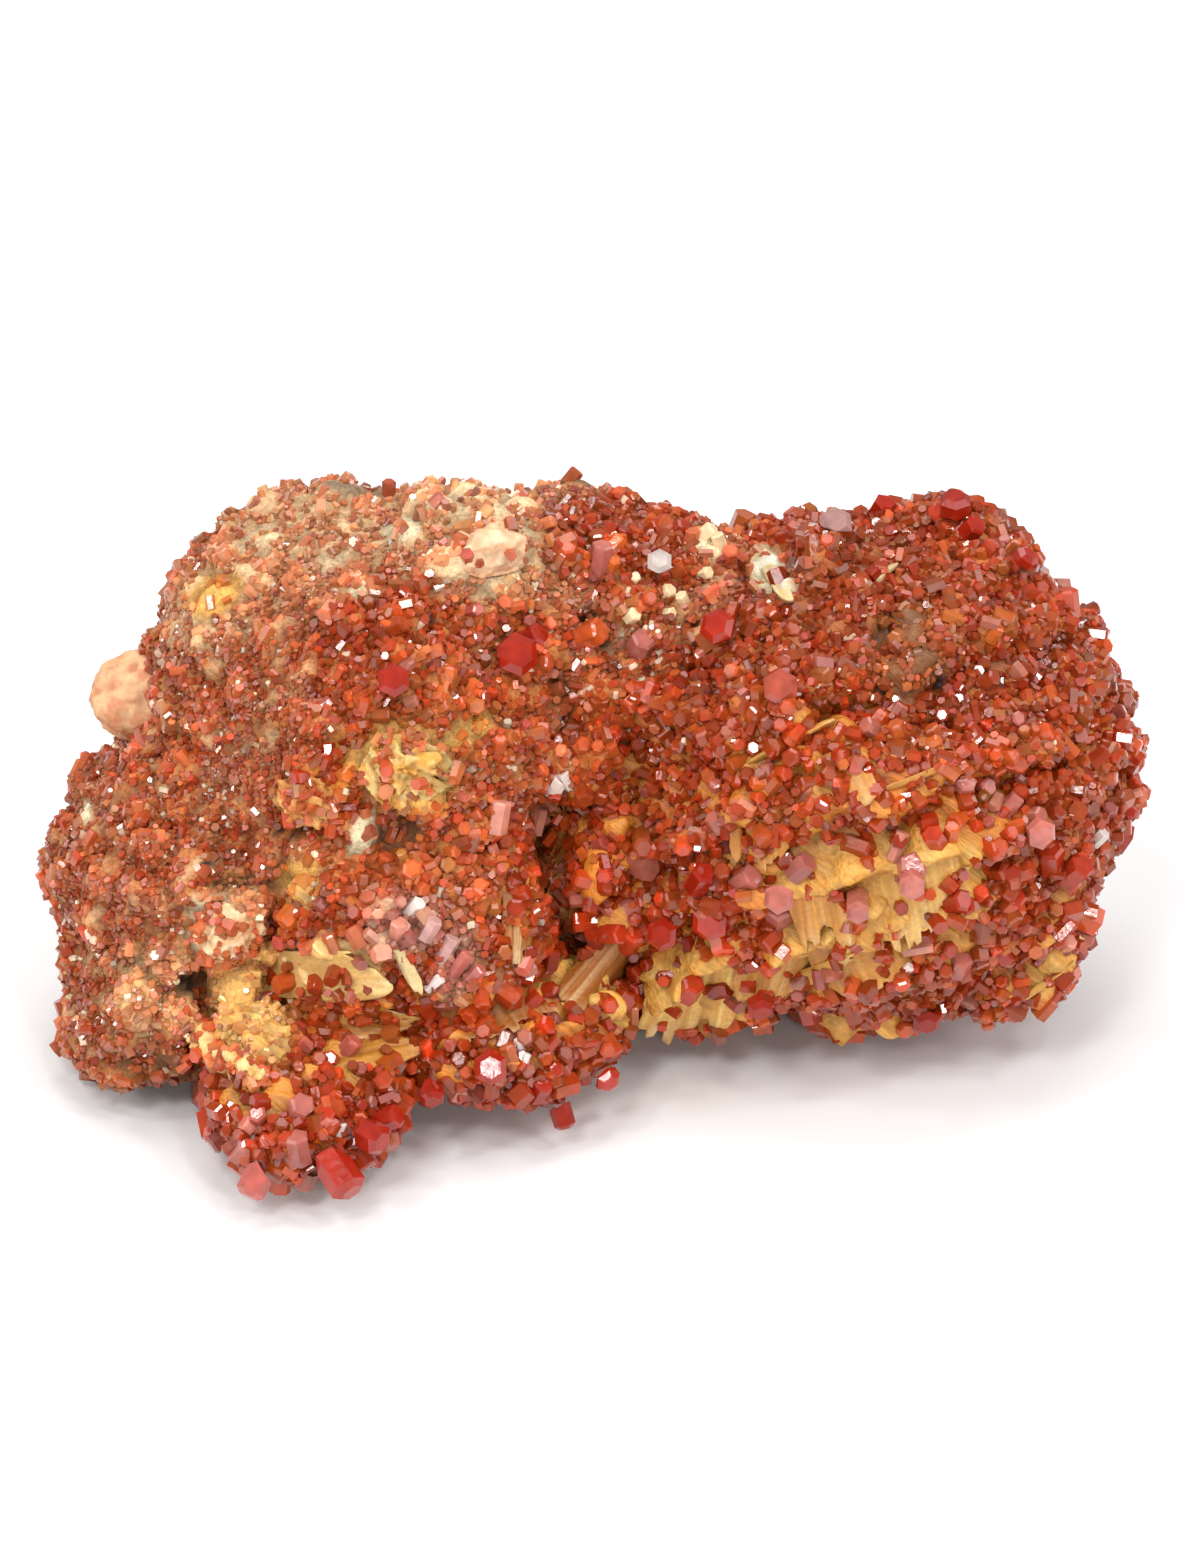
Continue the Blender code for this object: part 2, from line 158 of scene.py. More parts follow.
# Patches, each over the ones before: ground, then middle and half sizes in pixels, and a turn in degrees,
# clockwise in the picture, of one patch or more.
PATCHES = (
    ("sandy", (404, 510, 150, 38, 4), (296, 528, 104, 26, -28), (215, 600, 60, 36, -40)),
    ("middling", (400, 650, 90, 70, -30), (628, 540, 84, 62, 8)),
    ("ruddy", (500, 700, 90, 100, 0), (450, 860, 120, 60, 0)),
    (
        "amber",
        (350, 750, 42, 20, -35), (316, 800, 40, 34, -20), (300, 886, 20, 22, 0), (515, 900, 14, 62, 0),
        (610, 880, 40, 90, 0), (440, 1036, 170, 46, -7),
    ),
    ("dotted", (360, 1046, 84, 30, -12), (520, 1000, 60, 24, -30)),
    ("amber", (700, 955, 120, 50, -12), (880, 850, 150, 60, -24), (800, 760, 90, 40, -24)),
    (
        "dotted",
        (790, 742, 60, 20, -24), (850, 776, 44, 16, -24), (738, 838, 16, 34, 0), (610, 952, 60, 34, -36),
        (740, 958, 70, 30, -18), (870, 930, 90, 44, -30), (960, 930, 40, 30, -30),
        (1080, 930, 30, 50, 24), (1036, 980, 50, 18, -30),
    ),
    ("rock", (365, 484, 40, 12, 5)),
    # Painted shadow in a hole.
    ("hole_shadow", (406, 478, 9, 6, 0)),
    ("cream", (402, 530, 20, 11, 0)),
    (
        "pale",
        (470, 500, 60, 18, 5), (262, 536, 26, 10, -30), (487, 556, 50, 44, 0), (330, 560, 20, 8, -30),
    ),
    ("yellow", (215, 594, 30, 18, -25)),
    ("cream", (83, 812, 8, 12, 0), (360, 590, 11, 8, -30)),
    ("yellow", (404, 768, 56, 40, 38), (470, 728, 30, 12, -30)),
    # Painted shade in a hollow.
    ("brown", (398, 834, 26, 22, 20)),
    ("cream", (362, 836, 12, 22, 20)),
    ("brown", (252, 884, 50, 16, -15)),
    # Painted shadow in the holes.
    (
        "hole_shadow",
        (292, 831, 13, 5, -10), (430, 624, 8, 6, -20), (207, 864, 9, 5, -10), (224, 890, 10, 5, -25),
        (272, 930, 8, 13, -15),
    ),
    ("crumbly", (222, 912, 44, 30, -30), (160, 990, 44, 46, 0)),
    ("cream", (214, 928, 26, 30, -30)),
    ("yellow", (300, 884, 20, 22, 0)),
    ("ledge", (322, 964, 62, 24, -4)),
    ("crumbs", (250, 1016, 42, 72, 0)),
    ("dotted", (256, 1092, 40, 30, 0)),
    ("lilac", (400, 928, 44, 30, 0), (456, 966, 18, 40, 10)),
    # The first patch is the lobe's own brown; the second is painted shade in a hollow.
    ("brown", (166, 1084, 46, 26, 20), (200, 1030, 10, 66, 0)),
    # Painted shadow in the holes.
    ("hole_shadow", (188, 984, 12, 7, 50), (200, 1082, 5, 11, 0)),
    (
        "gold",
        (590, 968, 50, 28, -42), (684, 1004, 74, 54, -24), (826, 894, 48, 58, 0),
        (915, 884, 78, 52, -42), (816, 966, 60, 24, -16), (858, 968, 26, 20, -30),
        (1098, 920, 12, 34, 20), (1048, 974, 34, 14, -40), (880, 1038, 54, 16, -6),
        (834, 1022, 20, 10, 0),
    ),
    # Painted shade in the hollows.
    ("brown", (905, 650, 40, 46, 20), (548, 842, 24, 40, 0), (560, 694, 12, 36, 0)),
    ("cream", (712, 540, 20, 14, 0), (771, 574, 18, 34, -35)),
    # Painted shadow in the holes.
    (
        "hole_shadow",
        (590, 614, 9, 5, -30), (604, 644, 7, 5, 0), (692, 622, 8, 4, 0), (682, 666, 7, 4, 0),
        (940, 682, 6, 8, 30), (870, 570, 7, 4, 0),
    ),
)
PATCH_FRAY = 0.3  # how much a patch's rim wanders
PATCH_RIM = (1.25, 0.85)  # from outside to inside, as shares of its half sizes

# Hollows, or bulges where the depth is negative: middle and half sizes in pixels, and depth in mm.
HOLLOWS = (
    (292, 832, 20, 10, 3.5), (430, 624, 11, 9, 2.2), (222, 884, 40, 12, 2.0), (272, 930, 12, 18, 3.0),
    (396, 834, 26, 24, 1.8), (190, 985, 16, 14, 2.0), (202, 1040, 12, 66, 2.4), (300, 1048, 26, 16, 2.0),
    (590, 612, 14, 9, 2.4), (604, 645, 11, 9, 2.4), (692, 622, 12, 7, 2.0), (648, 672, 10, 9, 2.0),
    (682, 666, 11, 7, 2.0), (562, 690, 14, 44, 1.6), (546, 842, 26, 46, 1.8), (616, 900, 44, 60, -2.2),
    (246, 1026, 40, 60, -2.2), (655, 830, 9, 60, 1.0), (888, 650, 22, 44, 1.6), (845, 566, 22, 20, 1.4),
    (1040, 850, 24, 44, 1.2), (706, 690, 14, 40, 1.4), (960, 930, 60, 16, 1.2), (940, 684, 14, 18, 1.6),
    (872, 570, 14, 8, 1.6), (930, 720, 60, 9, 1.6), (830, 700, 60, 8, 1.6), (1000, 640, 40, 8, 1.4),
    (760, 660, 9, 40, 1.4), (450, 1016, 120, 8, 1.4), (480, 1052, 110, 7, 1.4),
)
HOLLOW_FRAY = 0.2
HOLLOW_RIM = (1.2, 0.3)

# Terraces on the dome: blades of barite stacked like leaning plates, with the crystals on their edges.
TERRACE_STEP = 6.4
TERRACE_HEIGHT = 2.3
TERRACE_LEAN = math.radians(24)
TERRACE_BOW = 0.012
TERRACE_MIDDLE = 24  # where along it a bowed terrace is lowest
TERRACE_WAVES = ((2.4, 8), (1.2, 3))  # how far and over what length its edge wanders
TERRACE_SLOPE = 0.78  # share of a step that climbs before it drops
TERRACE_SHARE = (0.4, 0.6)  # how much of the final ridges is knobs, and how much terraces
BUMPS_ON_TERRACES = 0.75

# The lumps: CAD node, slot, most common ground, pitch of the skin, size and height of its knobs, and the
# share of its crystals that are cream.
SKINS = {
    "rock": ("matrix_rock", "rock", "fine", 0.52, 4.2, 1.0, 0.03),
    "dome": ("barite_dome", "barite", "coarse", 0.48, 3.8, 1.5, 0.012),
    "breast": ("barite_breast", "barite", "middling", 0.4, 3.2, 0.9, 0.012),
    "tip": ("barite_tip", "barite", "big", 0.4, 3.2, 0.8, 0.012),
}
SKIN_RELAX = 10  # rounds of smoothing that take a CAD node's facets away
SWELL = 0.85  # how far a skin stands out from its CAD node
WARP, WARP_SIZE, WARP_SHIFT = 0.8, 3.0, 17  # bends the joints between knobs
MIDDLE = 0.6  # the part of a knob or terrace that is level with the skin
BUMPS = ((0.35, 1.7), (0.16, 0.8))  # heights and sizes of the small bumps
FACING, AWAY = (-0.05, 0.2), (0.0, -0.2)  # slopes that turn to the eye, and away from it
FRAY_SIZE = 2.2

FLOW = np.array((0.77, -0.1, -0.63))  # the way barite fibres run over the lumps
FURROW, FURROW_SIZE, FURROW_LENGTH = 0.3, 0.9, 7
SILK_SIZE, SILK_LENGTH = 1.0, 8
SILK_HUE = np.array((0.12, 0.4, 0.9))  # dark streaks of barite are more orange than pale ones
ISLAND = 2.8  # width of an island of crystals on bare barite, in mm
AMBER_BACK, AMBER_HEIGHT = (0.5, 0.25), (38, 24)  # the joints and the heights where the dome's barite shows
BACK_COARSER = 0.8  # how much wider crystals are on what faces away from the eye
UNDERSIDE, LOW = (-0.55, -0.8), (6, 2)  # slopes and heights that are bare underneath

GRAIN_OF_ROCK = unit(np.array((0.78, 0.25, 0.57)))  # the way the streaks of the rock's left face run
STREAK_SIZE, STREAK_LENGTH = 1.1, 9
SANDY_TOP = (37, 42)  # heights where the rock turns sandy
ROCK_BACK = 13.0  # behind about here the rock is bare
BACK_BLUR = 2
BACK_WANDER, BACK_WANDER_SIZE = 5.0, 9
CHIPS, CHIP_SIZES = 0.5, (6, 2.2)  # height and sizes of the chips of broken rock
CHIP_WARP, CHIP_GRAIN, CHIP_GRAIN_SIZE = 0.6, 0.12, 0.7

# Painted shade on the skins: darker in the joints between knobs and in the troughs of the terraces, with a
# random grain of tone over it.
SHADE, SHADE_OF_RIDGE, SHADE_OF_GRAIN, SHADE_SIZE = 0.62, 0.5, 0.22, 1.1
SHADE_LIMITS = (0.3, 1.25)


def mesh_object(name, points, faces, smooth=True):
    """A mesh from millimetre points."""
    mesh = bpy.data.meshes.new(name)
    mesh.from_pydata((np.asarray(points) * MM).tolist(), [], faces)
    mesh.polygons.foreach_set("use_smooth", [smooth] * len(mesh.polygons))
    thing = bpy.data.objects.new(name, mesh)
    bpy.context.scene.collection.objects.link(thing)
    return thing


def places(mesh, what="co", unit_of=MM):
    """Where the points of a mesh are."""
    flat = np.empty(len(mesh.vertices) * 3, np.float32)
    mesh.vertices.foreach_get(what, flat)
    return flat.reshape(-1, 3).astype(float) / unit_of


def slopes(mesh):
    return places(mesh, "normal", 1)


def place_all(mesh, points):
    mesh.vertices.foreach_set("co", (points * MM).astype(np.float32).ravel())
    mesh.update()


def paint(mesh, colours):
    """Keeps a linear colour for each point."""
    layer = mesh.attributes.new("tone", "FLOAT_COLOR", "POINT")
    filled = np.concatenate((colours, np.ones((len(colours), 1))), 1).astype(np.float32)
    layer.data.foreach_set("color", filled.ravel())


def fine_copy(name, node, pitch, relax):
    """A closed fine skin round a CAD node, with its facets smoothed away."""
    mesh = NODES[node].data
    points = [tuple(v.co / MM) for v in mesh.vertices]
    thing = mesh_object(name, points, [list(p.vertices) for p in mesh.polygons])
    melt = thing.modifiers.new("melt", "REMESH")
    melt.mode = "VOXEL"
    melt.voxel_size = pitch * MM
    soften = thing.modifiers.new("soften", "SMOOTH")
    soften.iterations = relax
    bpy.context.view_layer.update()
    done = bpy.data.meshes.new_from_object(thing.evaluated_get(bpy.context.evaluated_depsgraph_get()))
    thing.modifiers.clear()
    thing.data = done
    done.name = name
    done.polygons.foreach_set("use_smooth", [True] * len(done.polygons))
    return thing


def terraces(points):
    """How far the stacked blades stand out at points on the dome, from 0 to 1."""
    x, y, z = points.T
    along = x * math.cos(TERRACE_LEAN) + z * math.sin(TERRACE_LEAN)
    across = z * math.cos(TERRACE_LEAN) - x * math.sin(TERRACE_LEAN)
    across = across + TERRACE_BOW * (along - TERRACE_MIDDLE) ** 2
    for reach, size in TERRACE_WAVES:
        across = across + reach * rumple(points, size)
    share = np.mod(-across / TERRACE_STEP, 1)
    return np.where(share < TERRACE_SLOPE, share / TERRACE_SLOPE, (1 - share) / (1 - TERRACE_SLOPE))


def patch_reach(pixels, patch, fray):
    """How deep in a patch each pixel lies: 1 inside, 0 outside."""
    px, py, rx, ry, turn = patch
    turn = math.radians(turn)
    dx, dy = pixels[:, 0] - px, pixels[:, 1] - py
    along, across = dx * math.cos(turn) + dy * math.sin(turn), dy * math.cos(turn) - dx * math.sin(turn)
    far = np.hypot(along / rx, across / ry) + PATCH_FRAY * fray
    return step(*PATCH_RIM, far)


MIDDLE_TONE = 0.5


class Grown:
    """A surface that crystals stand on."""

    flecks = 0.0  # share of its crystals that are cream
    flow = np.zeros(3)  # the way its crystals lean

    def faces(self):
        """The middle, slope and growth of each face."""
        mesh = self.thing.data
        corners = np.empty(len(mesh.loops), np.int32)
        mesh.loops.foreach_get("vertex_index", corners)
        corners = corners.reshape(-1, 4)
        wanted = ("points", "out", "cover", "width", "tint", "ridge")
        means = {name: getattr(self, name)[corners].mean(1) for name in wanted}
        return {**means, "out": unit(means["out"])}

    def grow_evenly(self, cover, width, colour):
        rows = np.ones(len(self.points))
        self.cover, self.width, self.ridge = rows * cover, rows * width, rows * MIDDLE_TONE
        self.tint = np.tile(linear(colour), (len(rows), 1))


class Skin(Grown):
    """The rough surface of one lump, and what grows on each point of it."""

    def __init__(self, body):
        self.body = body
        self.node, self.slot, self.own, pitch, knob_size, knob_height, self.flecks = SKINS[body]
        if body == "rock":
            self.flow = GRAIN_OF_ROCK
        self.thing = fine_copy(f"{body}_surface", self.node, pitch, SKIN_RELAX)
        mesh = self.thing.data
        points, out = places(mesh), slopes(mesh)
        points = points + out * SWELL
        warp = np.stack([rumple(points + WARP_SHIFT * i, WARP_SIZE) for i in range(3)], 1)
        ridge = knobs(points + WARP * warp, knob_size)
        height = knob_height * (ridge - MIDDLE)
        for rise, size in BUMPS:
            height = height + rise * rumple(points, size)
        facing, away = step(*FACING, out @ TO_EYE), step(*AWAY, out @ TO_EYE)
        if body == "rock":
            behind = points[:, 1] + BACK_WANDER * rumple(points, BACK_WANDER_SIZE)
            broken = away * step(ROCK_BACK - BACK_BLUR, ROCK_BACK + BACK_BLUR, behind)
            chips = CHIPS * fractures(points + CHIP_WARP * warp, CHIP_SIZES[0])
            chips = chips + CHIPS * fractures(points, CHIP_SIZES[1])
            height = height * (1 - broken) + broken * (chips + CHIP_GRAIN * rumple(points, CHIP_GRAIN_SIZE))
        else:
            height = height + FURROW * streaks(points, FLOW, FURROW_SIZE, FURROW_LENGTH)
        if body == "dome":
            stand = terraces(points)
            height = BUMPS_ON_TERRACES * height + TERRACE_HEIGHT * (stand - MIDDLE)
            ridge = TERRACE_SHARE[0] * ridge + TERRACE_SHARE[1] * stand
        pixels = in_picture(points)
        fray = rumple(points, FRAY_SIZE, 2)
        for px, py, rx, ry, depth in HOLLOWS:
            far = np.hypot((pixels[:, 0] - px) / rx, (pixels[:, 1] - py) / ry) + HOLLOW_FRAY * fray
            height -= depth * facing * step(*HOLLOW_RIM, far)
        points = points + out * height[:, None]
        points[:, 2] = np.maximum(points[:, 2], 0)
        place_all(mesh, points)
        self.points, self.out, self.ridge = points, slopes(mesh), ridge
        self.ground(facing, away, fray)

    def ground(self, facing, away, fray):
        """Mixes the grounds over the points."""
        points, z = self.points, self.points[:, 2]

        def row(kind):
            colour, cover, width, tint, *islands = GROUNDS[kind]
            return np.concatenate((linear(colour), [cover, width], linear(tint), islands or [0]))

        mix = np.tile(row(self.own), (len(points), 1))

        def blend(kind, share):
            nonlocal mix
            mix = mix + (row(kind) - mix) * np.clip(share, 0, 1)[:, None]

        if self.body == "rock":
            blend("sandy", 0.6 * step(0.12, 0.45, streaks(points, GRAIN_OF_ROCK, STREAK_SIZE, STREAK_LENGTH)))
            blend("sandy", step(*SANDY_TOP, z + 1.5 * fray) * 0.8)
            behind = points[:, 1] + BACK_WANDER * rumple(points, BACK_WANDER_SIZE) + 2.5 * fray
            blend("rock", away * step(ROCK_BACK - 1, ROCK_BACK + 2, behind))
            stain = step(0.0, 0.4, rumple(points + 70, 5, 3))
            blend("ochre", 0.8 * away * stain * step(ROCK_BACK - 3, ROCK_BACK + 1, behind))
            crust = step(0.3, 0.5, rumple(points + 90, 4, 3))
            blend("chalk", 0.7 * away * crust * step(ROCK_BACK, ROCK_BACK + 2, behind))
        if self.body == "dome":
            blend("amber", 0.9 * step(*AMBER_BACK, self.ridge) * step(*AMBER_HEIGHT, z))
        pixels = in_picture(points)
        for kind, *patches in PATCHES:
            for patch in patches:
                blend(kind, patch_reach(pixels, patch, fray) * facing)
        blend("rock" if self.body == "rock" else "gold", step(*UNDERSIDE, self.out[:, 2]) * step(*LOW, z))
        island = step(0.02, 0.2, rumple(points + 31, ISLAND, 2))
        self.colour, self.tint = mix[:, :3], mix[:, 5:8]
        if self.body != "rock":
            silk = streaks(points, FLOW, SILK_SIZE, SILK_LENGTH)
            self.colour = self.colour * np.exp(np.outer(silk, SILK_HUE))
        self.width = mix[:, 4] * (1 + BACK_COARSER * step(-0.05, -0.4, self.out @ TO_EYE))
        self.cover = mix[:, 3] * (1 - mix[:, 8] * (1 - island))
        # Painted shade: the ground is darker in the joints and troughs and lighter on the ridges.
        shade = SHADE + SHADE_OF_RIDGE * self.ridge + SHADE_OF_GRAIN * rumple(points, SHADE_SIZE)
        paint(self.thing.data, self.colour * np.clip(shade, *SHADE_LIMITS)[:, None])


# ---------------------------------------------------------------- crystals
MOST_CRYSTALS = 8500  # in one piece
SIDES = 6
CHAMFER, BEVEL_DEPTH = 0.14, 0.8
# Where a crystal's faces lie in its own cell of the unit square.
CELL_MARGIN, SIDES_TOP, ENDS_ROW, END_COLUMNS, END_REACH = 0.1, 0.68, 0.85, (0.25, 0.75), (0.2, 0.12)


class Crystals:
    """Six-sided prisms joined in one mesh. A bevelled end takes a ring more."""

    def __init__(self):
        self.rows = []

    def add(self, spot, axis, width, length, tip, root, sunk, chamfer=CHAMFER, flat=1.0):
        spin = RANDOM.uniform(0, 2 * math.pi / SIDES)
        shape = (sunk, spin, chamfer, flat)
        self.rows.append((*spot, *unit(np.asarray(axis)), width, length, *tip, *root, *shape))

    def split(self, name, bevelled):
        """Builds in as few pieces as keep to the limit, from left to right."""
        count = math.ceil(len(self.rows) / MOST_CRYSTALS)
        rows = sorted(self.rows, key=lambda row: row[0])
        for i in range(count):
            self.rows = rows[len(rows) * i // count : len(rows) * (i + 1) // count]
            yield self.build(f"{name}_{i + 1}" if count > 1 else name, bevelled)

    def build(self, name, bevelled):
        data = np.array(self.rows)
        spot, axis = data[:, 0:3], data[:, 3:6]
        width, length = data[:, 6], data[:, 7]
        tip, root = data[:, 8:11], data[:, 11:14]
        sunk, spin, chamfer, flat = data[:, 14:18].T
        side = unit(np.cross(axis, np.where(np.abs(axis[:, 2:3]) < 0.9, (0, 0, 1.0), (1.0, 0, 0))))
        other = np.cross(axis, side)
        side, other = (
            side * np.cos(spin)[:, None] + other * np.sin(spin)[:, None],
            other * np.cos(spin)[:, None] - side * np.sin(spin)[:, None],
        )
        turn = np.arange(SIDES) * 2 * math.pi / SIDES
        top = length * (1 - sunk)
        cut = chamfer * width
        bevel = [(top - cut * BEVEL_DEPTH, 0.5 * width), (top, 0.5 * width - cut)]
        rings = [(-length * sunk, 0.5 * width), *(bevel if bevelled else [(top, 0.5 * width - 0.5 * cut)])]
        points = np.empty((len(data), len(rings), SIDES, 3))
        for j, (rise, radius) in enumerate(rings):
            reach = np.cos(turn)[None, :, None] * side[:, None]
            reach = reach + np.sin(turn)[None, :, None] * (other * flat[:, None])[:, None]
            points[:, j] = spot[:, None] + axis[:, None] * rise[:, None, None] + reach * radius[:, None, None]
        per = len(rings) * SIDES
        pattern = [tuple(reversed(range(SIDES)))]
        for start in range(0, per - SIDES, SIDES):
            for i in range(SIDES):
                a, b = start + i, start + (i + 1) % SIDES
                pattern.append((a, b, b + SIDES, a + SIDES))
        pattern.append(tuple(range(per - SIDES, per)))
        faces = [[start + i for i in face] for start in range(0, len(data) * per, per) for face in pattern]
        thing = mesh_object(name, points.reshape(-1, 3), faces, smooth=False)
        colours = np.empty(points.shape)
        colours[:, 0], colours[:, 1:] = root[:, None], tip[:, None, None]
        paint(thing.data, colours.reshape(-1, 3))
        self.lay_out(thing.data, len(data), len(rings))
        return thing

    def lay_out(self, mesh, count, rings):
        """Gives each crystal a small cell of the unit square, with no face without width."""
        across = math.ceil(math.sqrt(count))
        turn = np.arange(SIDES) * 2 * math.pi / SIDES

        def end(column, order):
            wide, high = END_REACH
            return [(column + wide * math.cos(turn[i]), ENDS_ROW + high * math.sin(turn[i])) for i in order]

        shape = end(END_COLUMNS[0], reversed(range(SIDES)))
        levels = np.linspace(0, SIDES_TOP, rings)
        for low, high in zip(levels, levels[1:]):
            for i in range(SIDES):
                left, right = i / SIDES, (i + 1) / SIDES
                shape += [(left, low), (right, low), (right, high), (left, high)]
        shape += end(END_COLUMNS[1], range(SIDES))
        shape = np.array(shape) * (1 - 2 * CELL_MARGIN) + CELL_MARGIN
        index = np.arange(count)
        corner = np.stack((index % across, index // across), 1) * (1 / across)
        cells = (corner[:, None] + shape[None] * (1 / across)).astype(np.float32)
        mesh.uv_layers.new(name="OFBake").data.foreach_set("uv", cells.ravel())


GAP_SIZE = 1.3  # width of a gap between crystals, in mm
# Rounds of sowing, big crystals first: how wide they are, how much that varies, and how close they may stand.
ROUNDS = ((1.15, 0.26, 0.38), (0.85, 0.2, 0.34), (0.58, 0.2, 0.34))
WIDTH_LIMITS = (-2, 1.6)  # in standard deviations
WIDTH_IN_JOINTS, WIDTH_ON_RIDGES = 0.8, 0.35
CELL = 2.5  # the grid, in mm, that close neighbours are looked up in
CROWD_REACH = 1.3  # how far off a neighbour can matter


def sow(skin):
    """Picks where crystals stand on a skin: bigger ones first, then smaller ones in what is left."""
    faces = skin.faces()
    spot, wanted, ridge = faces["points"], faces["width"], faces["ridge"]
    cells, chosen = {}, []
    gaps = rumple(spot + 53, GAP_SIZE, 2)
    open_to = gaps.argsort().argsort() / len(gaps) < faces["cover"]
    for scale, vary, crowd in ROUNDS:
        order = RANDOM.permutation(len(spot))
        sizes = wanted * scale * np.exp(vary * np.clip(RANDOM.standard_normal(len(spot)), *WIDTH_LIMITS))
        sizes = sizes * (WIDTH_IN_JOINTS + WIDTH_ON_RIDGES * ridge)
        for i in order[open_to[order]]:
            size = sizes[i]
            x, y, z = spot[i]
            home = (int(x // CELL), int(y // CELL), int(z // CELL))
            for a, b, c, other in cells.get(home, ()):
                gap = (size + other) * crowd
                if (x - a) ** 2 + (y - b) ** 2 + (z - c) ** 2 < gap * gap:
                    break
            else:
                chosen.append((i, size))
                near = [{int((p - CROWD_REACH) // CELL), int((p + CROWD_REACH) // CELL)} for p in (x, y, z)]
                for place in itertools.product(*near):
                    cells.setdefault(place, []).append((x, y, z, size))
    return faces, chosen


LEAN = 0.75  # how far crystals lean off the ground's slope, at random
LENGTHS = (0.7, 1.45)  # shares of the width
FLATNESS, SUNK = (0.82, 1.15), (0.35, 0.6)
FLOOR_ROOM = 0.6  # half a crystal's width and a little more
COARSE, COARSE_FACING = 1.0, -0.1  # wider crystals than this that face the eye get a bevelled end
# Painted sheen: a share of the crystals are painted pale mauve, the way red faces look where they mirror
# white light.
SHEEN_SHARE, SHEEN_STRENGTH = 0.08, 0.75  # of the crystals are duller and paler
SHEEN_TONE = linear((176, 98, 84))
FLECK, FLECKNESS = linear((238, 214, 180)), 0.85
WIDEST_FLECK = 0.8
TONE_SPREAD, GREEN_SPREAD, BLUE_SPREAD = 0.22, 0.27, 0.22
TONE_LIMITS = (0.003, 0.95)
# Painted shade: crystals are darker in the joints and troughs and brighter on the ridges.
CRYSTAL_SHADE_IN_JOINTS, CRYSTAL_SHADE_LIFT_ON_RIDGES = 0.74, 0.34


def scatter(ground, coarse, fine):
    """Crystals over one surface, added to the coarse or the fine ones by their size."""
    faces, chosen = sow(ground)
    sheen = SHEEN_STRENGTH * (RANDOM.uniform(size=len(faces["points"])) < SHEEN_SHARE)
    fleck = FLECKNESS * (RANDOM.uniform(size=len(faces["points"])) < ground.flecks)
    for i, size in chosen:
        spot, out, tint = faces["points"][i], faces["out"][i], faces["tint"][i]
        lean = RANDOM.standard_normal(3)
        axis = unit(out + LEAN * lean + ground.flow)
        length = size * RANDOM.uniform(*LENGTHS)
        flat, sunk = RANDOM.uniform(*FLATNESS), RANDOM.uniform(*SUNK)
        ends = (-axis[2] * length * sunk, axis[2] * length * (1 - sunk))
        if spot[2] + min(ends) < FLOOR_ROOM * size * math.sqrt(1 - axis[2] * axis[2]):
            continue
        wave = RANDOM.standard_normal(2)
        pale = fleck[i] if size < WIDEST_FLECK else 0
        # Painted sheen on some of the crystals.
        odd = sheen[i] * (1 - pale)
        tint = (tint * (1 - odd) + SHEEN_TONE * odd) * (1 - pale) + FLECK * pale
        hue = (1 - tint[1] / tint[0]) * wave[1]
        shift = (1, math.exp(GREEN_SPREAD * hue), math.exp(BLUE_SPREAD * hue))
        tip = np.clip(tint * np.exp(TONE_SPREAD * wave[0]) * shift, *TONE_LIMITS)
        # Painted shade in the joints and troughs.
        tip = tip * (CRYSTAL_SHADE_IN_JOINTS + CRYSTAL_SHADE_LIFT_ON_RIDGES * faces["ridge"][i])
        # Painted shade and glow: the root is darker, as in the shade of its neighbours, and more orange, a
        # painted glow of light through the crystal.
        root = tip * (0.86, 1.3 - 0.4 * min(1, tip[1] / tip[0] / 0.4), 1.0)  # darker and more orange
        to = coarse if size > COARSE and out @ TO_EYE > COARSE_FACING else fine
        to.add(spot, axis, size, length, tip, root, sunk, flat=flat)


def druse(skin):
    """The crust of crystals on one skin."""
    fine, coarse = Crystals(), Crystals()
    scatter(skin, coarse, fine)
    yield from coarse.split(f"vanadinite_{skin.body}_large", True)
    yield from fine.split(f"vanadinite_{skin.body}_small", False)


